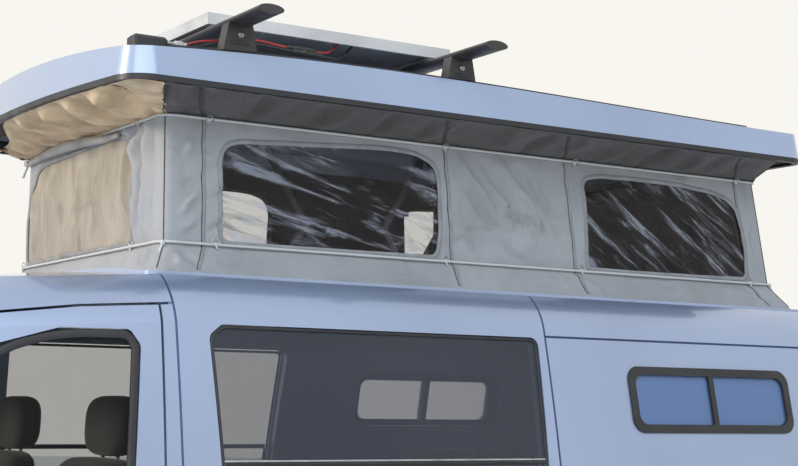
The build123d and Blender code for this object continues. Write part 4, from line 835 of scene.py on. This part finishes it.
def depth_in(points, outline):
    """Signed distance of places to a closed outline, above 0 inside, and the nearest places on it."""
    points, outline = np.asarray(points, float), np.asarray(outline, float)
    ends = np.roll(outline, -1, 0)
    best = np.full(len(points), 1e9)
    nearest = points.copy()
    inside = np.zeros(len(points), bool)
    for p, q in zip(outline, ends):
        run = q - p
        t = np.clip(((points - p) @ run) / (run @ run), 0, 1)
        place = p + t[:, None] * run
        far = np.linalg.norm(points - place, axis=1)
        closer = far < best
        best[closer], nearest[closer] = far[closer], place[closer]
        crosses = ((p[1] > points[:, 1]) != (q[1] > points[:, 1]))
        with np.errstate(divide="ignore", invalid="ignore"):
            at_x = p[0] + (points[:, 1] - p[1]) / (q[1] - p[1]) * run[0]
        inside ^= crosses & (points[:, 0] < at_x)
    return np.where(inside, best, -best), nearest


FRONT_WINDOW = rounded([
    (1647, 1962), (1643, 2100), (1640, 2190), (1646, 2224), (1664, 2246), (1700, 2257), (1831, 2265), (2000, 2276),
    (2176, 2286), (2267, 2286), (2323, 2279), (2364, 2262), (2383, 2238), (2391, 2207), (2392, 2082), (2390, 1966),
    (2200, 1964), (1900, 1962),
], 30)
REAR_WINDOW = rounded([
    (2982, 1964), (2978, 2125), (2970, 2238), (2982, 2262), (3034, 2274), (3173, 2279), (3307, 2277), (3445, 2271),
    (3548, 2263), (3620, 2247), (3658, 2218), (3681, 2159), (3699, 2071), (3706, 1970), (3488, 1965), (3216, 1964),
], 24)
NET_WINDOW = rounded([
    (-528, 1964), (-533, 2099), (-515, 2180), (-497, 2214), (-455, 2262), (-400, 2282), (-250, 2288), (-75, 2290),
    (91, 2292), (225, 2293), (310, 2276), (342, 2240), (354, 2180), (356, 2120), (349, 2062), (358, 1985),
    (350, 1966), (117, 1968), (-219, 1966),
], 22)
OPENINGS = [(side, window) for side in SIDES for window in (FRONT_WINDOW, REAR_WINDOW)] + [(FRONT, NET_WINDOW)]


def tent_levels(step):
    """Heights of the rows of the tent's mesh, closer where it slants."""
    return np.concatenate([np.linspace(FOOT, SKIRT_TOP, int(130 / step) + 1),
                           np.linspace(SKIRT_TOP, BAND_LOW, int(376 / step) + 1)[1:],
                           np.linspace(BAND_LOW, BAND_HIGH, int(190 / step) + 1)[1:]])


def tent_skin(step, lift=0.0, relief=True):
    """The tent's wall all round as a grid, with the windows' openings left out."""
    levels = tent_levels(step)
    side_count, end_count, arc = int(2300 / step), int(1066 / step), max(3, int(63 / step))
    grid = []
    for z in levels:
        half, front, rear = (float(v) for v in ring_at(z))
        far = float(far_half(z))
        nose, far_nose = front + float(bow(half - CORNER, z)), front + float(bow(CORNER - far, z))
        flat, steep = (float(v) for v in wall_out(np.array(z)))
        reach = CORNER + lift * flat
        line = []

        def run(side, start, end, count):
            places = np.linspace(start, end, count)
            line.extend(zip([side] * count, places, wall(side, places, np.full(count, z), lift, relief)))

        def turn(cx, cy, start):
            for k in range(1, arc):
                angle = start + 90 * k / arc
                way = math.radians(angle)
                place = np.array([cx + reach * math.cos(way), cy + reach * math.sin(way), z + lift * steep])
                line.append((-1, angle, place))

        run(SIDE_LEFT, front + CORNER, rear - CORNER, side_count)
        turn(half - CORNER, rear - CORNER, 0)
        run(REAR, half - CORNER, CORNER - far, end_count)
        turn(CORNER - far, rear - CORNER, 90)
        run(SIDE_RIGHT, rear - CORNER, front + CORNER, side_count)
        turn(CORNER - far, far_nose + CORNER, 180)
        run(FRONT, CORNER - far, half - CORNER, end_count)
        turn(half - CORNER, nose + CORNER, 270)
        grid += line
    labels, along, points = (np.array(column) for column in zip(*grid))
    columns = len(line)
    row_heights = np.repeat(levels, columns)
    heights = row_heights.copy()
    faces = np.array(grid_faces(len(levels), columns, True))
    keep = np.ones(len(faces), bool)
    for side, outline in OPENINGS:
        low, high = outline.min(0) - 2 * step, outline.max(0) + 2 * step
        near = np.flatnonzero((labels == side) & (along > low[0]) & (along < high[0])
                              & (heights > low[1]) & (heights < high[1]))
        depth, edge = depth_in(np.stack([along[near], heights[near]], -1), outline)
        close = np.abs(depth) < 0.62 * step
        moved, edge = near[close], edge[close]
        points[moved] = wall(side, *edge.T, lift, relief)
        along[moved], heights[moved] = edge.T
        inside = np.full(len(points), -1.0)
        inside[near] = np.where(close, 0, depth)
        keep &= inside[faces].min(1) < 0
    limit = np.maximum(corner_line(row_heights), ring_at(row_heights)[1] + CORNER_INSET)
    front = (labels == FRONT) | ((labels == -1) & (along > 180) & (points[:, 1] < limit))
    front |= np.isin(labels, SIDES) & (along < corner_line(row_heights))
    return points, faces[keep], row_heights, front


def corner_line(z):
    """How far back the seam between the front's and the side's cloth lies (mm)."""
    return np.where(z > BAND_LOW, np.interp(z, [BAND_LOW, BAND_HIGH], [1463, 1376]), 0)


def tent_piece(name, shape, finish, slot_name="canvas", levels=None, front=0):
    """A piece of the tent that rides on the root body; levels are its points' heights."""
    made = piece(name, *shape, finish, "root", slot_name)
    if levels is not None:
        high = np.clip((levels - 2310) / 10, 0, 1)
        for mark, values in (("high", high), ("front", np.broadcast_to(front, len(levels)))):
            made.data.attributes.new(mark, "FLOAT", "POINT").data.foreach_set("value", np.array(values, np.float32))
    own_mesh(made)
    return made


def hem_of(side, outline):
    """A low strip on the canvas along an opening's outline."""
    normal = outward(outline)
    section = [(-5, -1.1), (-4.4, 1.4), (3, 2.1), (10.4, 1.4), (11, -1.1)]
    points = [wall(side, *(outline + normal * reach).T, height) for reach, height in section]
    return np.concatenate(points), grid_faces(len(section), len(outline), True)


def filling(side, outline, relief):
    """A sheet that fills an opening, cut a little outside its outline; relief(a, z) is its own form."""
    low, high = outline.min(0) - SHEET_EDGE - SHEET_STEP, outline.max(0) + SHEET_EDGE + SHEET_STEP
    a, z = np.meshgrid(np.arange(low[0], high[0], SHEET_STEP), np.arange(low[1], high[1], SHEET_STEP))
    flat = np.stack([a.ravel(), z.ravel()], -1)
    depth, _ = depth_in(flat, outline)
    places = wall(side, *flat.T, relief(*flat.T) * smooth_step(depth, 0, 45) - SHEET_BEHIND)
    faces = np.array(grid_faces(*a.shape))
    return places, faces[depth[faces].min(1) > -SHEET_EDGE]


def upright(side, a, width, lift):
    """A seam up a wall, at the same share of each ring's length."""
    half, front, rear = ring_at(SEAM_LEVELS)
    if side in SIDES:
        line = along_side(a, front, rear) + 1.2 * np.sin(SEAM_LEVELS / 19)
        line += 0.067 * (2500 - line) * smooth_step(SEAM_LEVELS, 2318, 2370)
    else:
        line = a / 566 * half
    rows = [(-0.5, -1.5), (-0.42, lift), (0.42, lift), (0.5, -1.5)]
    points = [wall(side, line + width * share, SEAM_LEVELS, height) for share, height in rows]
    return np.concatenate(points), grid_faces(len(rows), len(SEAM_LEVELS))


tent_points, tent_faces, tent_rows, tent_front = tent_skin(10)
tent = tent_piece("tent_canvas", (tent_points, tent_faces), canvas, levels=tent_rows, front=tent_front)
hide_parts("canvas_tent")
tent_inner = tent_piece("tent_lining", tent_skin(26, -27, False)[:2], lining, "liner")
hem = tent_piece("window_hems", joined(hem_of(*opening) for opening in OPENINGS), hem_canvas)

welts = [upright(side, place + 7, 13, 0.75) for side in SIDES for place in SEAMS]
stitches = [upright(side, place, 2.6, 1.1) for side in SIDES for place in SEAMS]
stitches += [upright(REAR, place, 2.6, 1.1) for place in (-190, 190)]
seam_lines = tent_piece("seam_stitching", joined(stitches), thread)
seam_welts = tent_piece("seam_welts", joined(welts), hem_canvas, levels=np.tile(SEAM_LEVELS, 4 * len(welts)))

corner_seams = []
for sign_x, sign_y in ((1, -1), (-1, -1), (1, 1), (-1, 1)):
    z = np.linspace(SEAM_LEVELS[0], SEAM_LEVELS[-1], 70)
    half, front, rear = ring_at(z)
    reach = CORNER_INSET - 0.6
    x = sign_x * ((half if sign_x > 0 else far_half(z)) - reach)
    y = front + bow(x, z) + reach if sign_y < 0 else rear - reach
    if sign_y < 0:
        y = np.maximum(y, corner_line(z))
        past = np.clip((front + bow(x, z) + CORNER - y) / CORNER, 0, 1)
        x += sign_x * (reach - 0.6 - CORNER + CORNER * np.sqrt(1 - past ** 2))
    corner_seams.append(tube_grid(np.stack([x, y, z], -1), 1.9, 6))
corner_lines = tent_piece("corner_seams", joined(corner_seams), thread)


def crinkle(a, z):
    """The unevenness of the film windows."""
    return 2.4 * ripple(a * 1.6 + z, z * 2.2 - a, 31) + 1.2 * ripple(a * 3 + 2 * z, 4 * z, 32)


def pleat(a, z):
    """The soft folds of the net window."""
    upright_lines = [(-455, 2260, -470, 1975, 9, 7), (-400, 2270, -440, 1980, 10, -6), (-300, 2250, -250, 2080, 16, 6),
                     (-230, 2150, -225, 1975, 7, -7), (-60, 2250, -80, 2090, 12, 5), (-90, 2060, -70, 1975, 7, -6),
                     (60, 2200, 70, 2040, 14, 5), (200, 2260, 180, 2130, 12, -5), (240, 2240, 250, 2150, 6, -8),
                     (300, 2280, 310, 2050, 12, 7), (280, 2200, 310, 1990, 8, -6), (-150, 2120, 150, 2115, 10, 4)]
    return 2.1 * ridges(a, z, upright_lines) + 3.5 * ripple(a, z, 41)


films = [filling(side, outline, crinkle) for outline in (FRONT_WINDOW, REAR_WINDOW) for side in SIDES]
vinyl = tent_piece("vinyl_windows", joined(films), flat_film)
vinyl.data.materials.append(steep_film)
first = sum(len(faces) for _, faces in films[:2])
vinyl.data.polygons.foreach_set("material_index", [0] * first + [1] * (len(vinyl.data.polygons) - first))
net_sheet = tent_piece("net_window", filling(FRONT, NET_WINDOW, pleat), net)

# the front window's rolled cover, held under the upper cord
roll_path, roll_radii = [], []
for share in np.linspace(0, 1, 60):
    rise = 17 * math.sin(math.pi * min(1, share * 1.15)) - 6 * share
    roll_path.append((790 * share - 535, 1452 - 6 * math.sin(math.pi * share), 2302 + rise))
    roll_radii.append(5 + 13 * math.sin(math.pi * (0.05 + 0.9 * share)))
tent_piece("rolled_cover", tube_grid(roll_path, roll_radii, 14), warm_canvas)

cord_parts, ring_parts, tab_parts = [], [], []
CORDS = (  # height, distance from the wall, places of the rings along and across, their rise and distance
    (LOW_CORD, 4.5, (1625, 2415, 2955, 3715), (362, -552), 6, 4),
    (HIGH_CORD, 5.8, (1600, 2418, 2935, 3665), (395, -548), 1, 11),
)
for level, off, along, across, rise, ring_off in CORDS:
    half, front, rear = (float(v) for v in ring_at(level))
    half, front, rear, corner = half + off, front - off, rear + off, CORNER + off
    loop = []
    middles = ((half - corner, rear - corner), (corner - half, rear - corner),
               (corner - half, front + corner), (half - corner, front + corner))
    for quarter, (x, y) in enumerate(middles):
        for k in range(9):
            way = math.radians(90 * quarter + 90 * k / 8)
            loop.append((x + corner * math.cos(way), y + corner * math.sin(way), level))
    path = evened(loop, 9)
    cord_parts.append(tube_grid(path, 4 + 0.28 * np.sin(np.arange(len(path)) * 2.2), 8, True))
    on_left = [(SIDE_LEFT, a) for a in along] + [(FRONT, a) for a in across]
    for side, a in on_left + [(SIDE_RIGHT, a) for a in along] + [(REAR, 300), (REAR, -300)]:
        ring_axis, knot_reach = ((1, 0, 0), (5.5, 9, 5.5)) if side in SIDES else ((0, 1, 0), (9, 5.5, 5.5))
        ring_parts.append(torus(wall(side, a, level + rise, ring_off, False), ring_axis, 12, 1.5))
        knot = wall(side, a, level, 5.0, False)
        tail_end = wall(side, a + 3, level - 15, 2.6, False)
        tab_parts += [blob(knot, knot_reach, 2.6, 8, 12),
                      tube_grid(np.linspace(knot, tail_end, 5), [3.4, 3.6, 3.2, 2.8, 2.2], 8)]
for x, y, z, drop in ((566, 1466, 1950, 34), (-566, 1466, 2309, 46), (-566, 1466, 1950, 40), (566, 3822, 1950, 30)):
    tab_parts.append(blob((x, y, z), (7, 7, 8), 2.4, 8, 12))
    fall = [(x + (3 if x > 0 else -3) * k, y - 5 * k if y < 2000 else y + 3 * k, z - drop * k / 3) for k in range(4)]
    tab_parts.append(tube_grid(fall, [3.2, 3.8, 3.6, 4.4], 8))
cords = tent_piece("elastic_cords", joined(cord_parts), white_cord, "cord")
tent_piece("cord_rings", joined(ring_parts), aluminium, "aluminium")
tent_piece("cord_knots", joined(tab_parts), white_cord, "cord")
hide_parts("tent_cords")


# ---------------------------------------------------------------- seats and bench

def seat_part(name, shape, finish, node="cab_seats"):
    """A part of a seat or the bench in place of the node."""
    slot_name = {"cab_seats": "seat_fabric", "rear_bench": "bench_fabric"}[node]
    made = piece(name, *shape, finish, "root", "steel" if finish is steel else slot_name)
    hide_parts(node)


for name, sign in (("left", 1), ("right", -1)):
    x = 400 * sign
    for part, shape in (
        ("seat_pad_", cushion((x - 248, 812, 742), (x + 248, 1318, 888), 5.5)),
        ("seat_back_", cushion((x - 238, 1250, 832), (x + 238, 1372, 1348), 5, 0.2)),
        ("headrest_", cushion((x - 133, 1352, 1352), (x + 133, 1453, 1522), 3.4, 0.04)),
    ):
        seat_part(part + name, shape, seat_cloth)
    posts = [tube_grid([(x + 55 * s, 1392, 1310), (x + 55 * s, 1396, 1335), (x + 55 * s, 1400, 1372)], 6, 10)
             for s in (-1, 1)]
    seat_part("headrest_posts_" + name, joined(posts), steel)
    seat_part("seat_base_" + name, block((x - 200, 860, 545.3), (x + 200, 1260, 758), 14), dark_plastic)
for number, x in enumerate((-380, 0, 380)):
    for part, shape in (
        ("bench_pad_%d", cushion((x - 189, 2502, 742), (x + 189, 3035, 888), 6)),
        ("bench_back_%d", cushion((x - 189, 2955, 850), (x + 189, 3075, 1352), 5.5, 0.19)),
    ):
        seat_part(part % number, shape, bench_cloth, "rear_bench")
seat_part("bench_base", block((-560, 2560, 545.3), (560, 3000, 755), 12), dark_plastic, "rear_bench")


# ---------------------------------------------------------------- window trims

def surface_of(*names):
    """A search tree of CAD nodes at rest."""
    points, faces = [], []
    for name in names:
        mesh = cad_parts[name].data
        faces += [tuple(v + len(points) for v in polygon.vertices) for polygon in mesh.polygons]
        points += [tuple(v.co) for v in mesh.vertices]
    return BVHTree.FromPolygons(points, faces)


def outermost(tree_of, sign, d, z, fallback):
    """The outermost x of the nodes at a place, from the left (1) or the right (-1), in mm."""
    start = Vector(at(2000 * sign, d, z))
    hit = tree_of.ray_cast(start, Vector((-sign, 0, 0)))[0]
    return fallback if hit is None else hit.x * 1000


def laid(tree_of, sign, rows):
    """Rows of points on a side of the van; a row is its places along and up, and its height on the surface."""
    points = []
    for places, height in rows:
        last = 850 * sign
        for d, z in places:
            last = outermost(tree_of, sign, d, z, last)
            points.append((last + sign * height, d, z))
    return points


def side_band(tree_of, sign, outline, section):
    """A trim along an outline on a side of the van; section is (reach outwards, height)."""
    normal = outward(outline)
    rows = [(outline + normal * reach, height) for reach, height in section]
    return laid(tree_of, sign, rows), grid_faces(len(section), len(outline), True)


def side_strip(tree_of, sign, start, end, width, height, steps=40):
    """A straight flat bar on a side of the van."""
    start, end = np.array(start, float), np.array(end, float)
    run = (end - start) / np.linalg.norm(end - start)
    over = np.array([-run[1], run[0]])
    line = start + (end - start) * np.linspace(0, 1, steps)[:, None]
    rows = [(line + over * width * share, height * rise - 0.5)
            for share, rise in ((-0.5, 0.0), (-0.42, 1.0), (0.42, 1.0), (0.5, 0.0))]
    return laid(tree_of, sign, rows), grid_faces(4, steps)


DOOR_WINDOW = rounded([(470, 1180), (905, 1640), (1080, 1689), (1269, 1691), (1297, 1650), (1250, 1180)],
                      [22, 90, 90, 40, 40, 22], 7)
SLIDER_WINDOW = rounded([(1513, 1170), (1494, 1683), (1534, 1714), (2593, 1714), (2573, 1170)], 28, 12)
for name, sign in (("left", 1), ("right", -1)):
    glass_tree = surface_of("door_glass_" + name)
    section = [(-25, -0.5), (-25, 3), (-22, 4.6), (-13, 5.2), (-5, 4.4), (-2.5, 3.2), (-2.5, -0.5)]
    piece("door_seal_" + name, *side_band(glass_tree, sign, DOOR_WINDOW, section), rubber, "door_" + name, "rubber")
    slider_tree = surface_of("side_glass")
    parts = [side_band(slider_tree, sign, SLIDER_WINDOW, [(-11, -0.5), (-11, 1.8), (-8, 2.6), (-3.5, 2.2), (-2, -0.5)])]
    for start, end, *form in (
        ((1520, 1344), (2565, 1344), 12, 2.2), ((1528, 1180), (1522, 1338), 14, 2.2, 12),
        ((2560, 1180), (2566, 1338), 14, 2.2, 12), ((2049, 1180), (2057, 1338), 22, 2.6, 12),
    ):
        parts.append(side_strip(slider_tree, sign, start, end, *form))
    piece("slider_frame_" + name, *joined(parts), rubber, "root", "rubber")
    bar = side_strip(slider_tree, sign, (1516, 1352), (2568, 1352), 5, 3.0)
    piece("slider_bar_" + name, *bar, aluminium, "root", "aluminium")


# ---------------------------------------------------------------- solar panel faces

low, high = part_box("solar_panel")


def panel_sheet(name, inset, z, face, finish, slot_name):
    """A flat sheet over the panel's whole face."""
    x0, x1, y0, y1 = low.x + inset, high.x - inset, low.y + inset, high.y - inset
    corners = [(x0, y0, z), (x1, y0, z), (x1, y1, z), (x0, y1, z)]
    piece(name, corners, [face], finish, "pop_top", slot_name, in_mm=False)


under = high.z - 0.0054
panel_sheet("solar_cell_sheet", 0.013, high.z + 0.0004, (0, 1, 2, 3), cells, "dark_glass")
panel_sheet("solar_back_sheet", 0.012, under, (0, 3, 2, 1), back_sheet, "panel_frame")
gap_points = []
for row in range(1, 9):
    for column in range(1, 7):
        x, y = low.x + 0.012 + row * 1.056 / 9, low.y + 0.012 + column * 0.826 / 7
        gap_points += [(x + i, y + j, under - 0.0004) for i, j in ((-0.008, 0), (0, 0.008), (0.008, 0), (0, -0.008))]
gap_faces = [tuple(range(k, k + 4)) for k in range(0, len(gap_points), 4)]
piece("solar_cell_gaps", gap_points, gap_faces, white_plastic, "pop_top", "panel_frame", in_mm=False)

bolts, covers = [], []
for sign in (1, -1):
    for place in (1632, 2393):
        for across, radii, sides in (((691.5, 694.5, 696), (9.5, 9.5, 7.5), 18), ((695, 699, 699.6), (6, 6, 5), 6)):
            bolts.append(tube_grid([(x * sign, place, 2541) for x in across], radii, sides))
        inner, outer = sorted((690.5 * sign, 693.5 * sign))
        covers.append(block((inner, place - 30, 2512), (outer, place + 30, 2524), 1.2, 2))
piece("foot_bolts", *joined(bolts), steel, "pop_top", "steel")
piece("foot_covers", *joined(covers), rubber, "pop_top", "black_bar")
gland = []
for places, z in (((594, 594, 594, 594), 2500), ((606.2, 606.4, 606.6, 607), 2496)):
    path = [(x, d, z) for x, d in zip(places, (1438, 1446, 1452, 1462))]
    gland.append(tube_grid(path, [6.5, 6.5, 5.4, 4.6], 12))
piece("entry_glands", *joined(gland), white_plastic, "pop_top", "black_plastic")
plug = [block((598, 1466, 2504), (616, 1490, 2517), 2, 2), block((600, 1490, 2506), (614, 1502, 2515), 1.5, 2),
        tube_grid([(607, 1466, 2510.5), (607, 1452, 2511), (606, 1440.5, 2508)], [3, 3, 3], 8)]
piece("entry_plug", *joined(plug), white_plastic, "pop_top", "black_plastic")

plate = block((-258, 4236.5, 838), (258, 4240, 948), 1.2, 2)
piece("rear_plate_blank", *plate, white_plastic, "tailgate", "paint")


# ---------------------------------------------------------------- front intake, mirror glass, wipers

def met(tree_of, start, way, fallback):
    """Where a ray from a place in mm first meets the nodes, in mm."""
    hit = tree_of.ray_cast(Vector(at(*start)), Vector(way))[0]
    return fallback if hit is None else np.array([hit.x * 1000, (hit.y + AXLE) * 1000, hit.z * 1000])


bumper_tree = surface_of("front_bumper")
across = np.linspace(-408, 408, 35)
lips = np.array([met(bumper_tree, (x, -1200, 470), (0, 1, 0), np.array([x, -880, 470]))[1] for x in across])
slats = []
for z in (345, 366, 387, 408, 429):
    slats.append(tube_grid(np.stack([across, lips + 34, np.full(35, float(z))], -1), 5.5, 8))
for x in (-270, -90, 90, 270):
    d = float(np.interp(x, across, lips))
    slats.append(tube_grid([(x, d + 38, 336), (x, d + 38, 390), (x, d + 38, 444)], 4.5, 8))
back_rows = [np.stack([across, lips + 64, np.full(35, float(z))], -1) for z in (322, 390, 458)]
slats.append((np.concatenate(back_rows), grid_faces(3, 35)))
piece("intake_grille", *joined(slats), black_plastic, "root", "black_plastic")

for name, sign in (("left", 1), ("right", -1)):
    low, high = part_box("mirror_" + name)
    tree_of = surface_of("mirror_" + name)
    middle = np.array([500 * (low.x + high.x), 500 * (low.z + high.z)]) + np.array([12 * sign, 0])
    reach = np.array([500 * (high.x - low.x) - 42, 500 * (high.z - low.z) - 34])
    back = (high.y + AXLE) * 1000
    oval = []
    for share in (1, 0.96, 0.6, 0.02):
        for way in np.array(turns(40)):
            x, z = middle + reach * share * way * (np.abs(way) ** 5).sum() ** (-1 / 5)
            d = met(tree_of, (x, back + 60, z), (0, -1, 0), (0, back, 0))[1]
            oval.append((x, d + (-1 if share == 1 else 1.2), z))
    piece("mirror_glass_" + name, oval, grid_faces(4, 40, True), mirror_glass, "door_" + name, "glass")

screen_tree = surface_of("windscreen")
wipers = []
for x0, z0, x1, z1 in ((585, 1262, 40, 1292), (-60, 1252, -590, 1300)):
    line = []
    for t in np.linspace(0, 1, 24):
        x, z = x0 + (x1 - x0) * t, z0 + (z1 - z0) * t
        place = met(screen_tree, (x, -1400, z), (0, 1, 0), None)
        if place is not None:
            line.append(place + np.array([0, -7, 6]))
    wipers.append(tube_grid(line, [3] + [5.5] * (len(line) - 2) + [3], 8))
    wipers.append(tube_grid([p + np.array([0, -8, 7]) for p in line[:13:2]], [8, 7, 6, 6, 5, 5, 4], 8))
piece("wiper_blades", *joined(wipers), black_plastic, "root", "black_plastic")


# ---------------------------------------------------------------- floor

floor_finish = material("pale_floor", (0.74, 0.74, 0.72), 0.8)
mottle(floor_finish, noise(floor_finish, 0.8, 5), (0.735, 0.735, 0.715), (0.75, 0.75, 0.73))
floor_mesh = bpy.data.meshes.new("floor")
floor_mesh.from_pydata([(45 * c, 45 * s, -0.0005) for c, s in turns(96)], [], [tuple(range(96))])
floor_mesh.materials.append(floor_finish)
floor = placed("floor", floor_mesh)
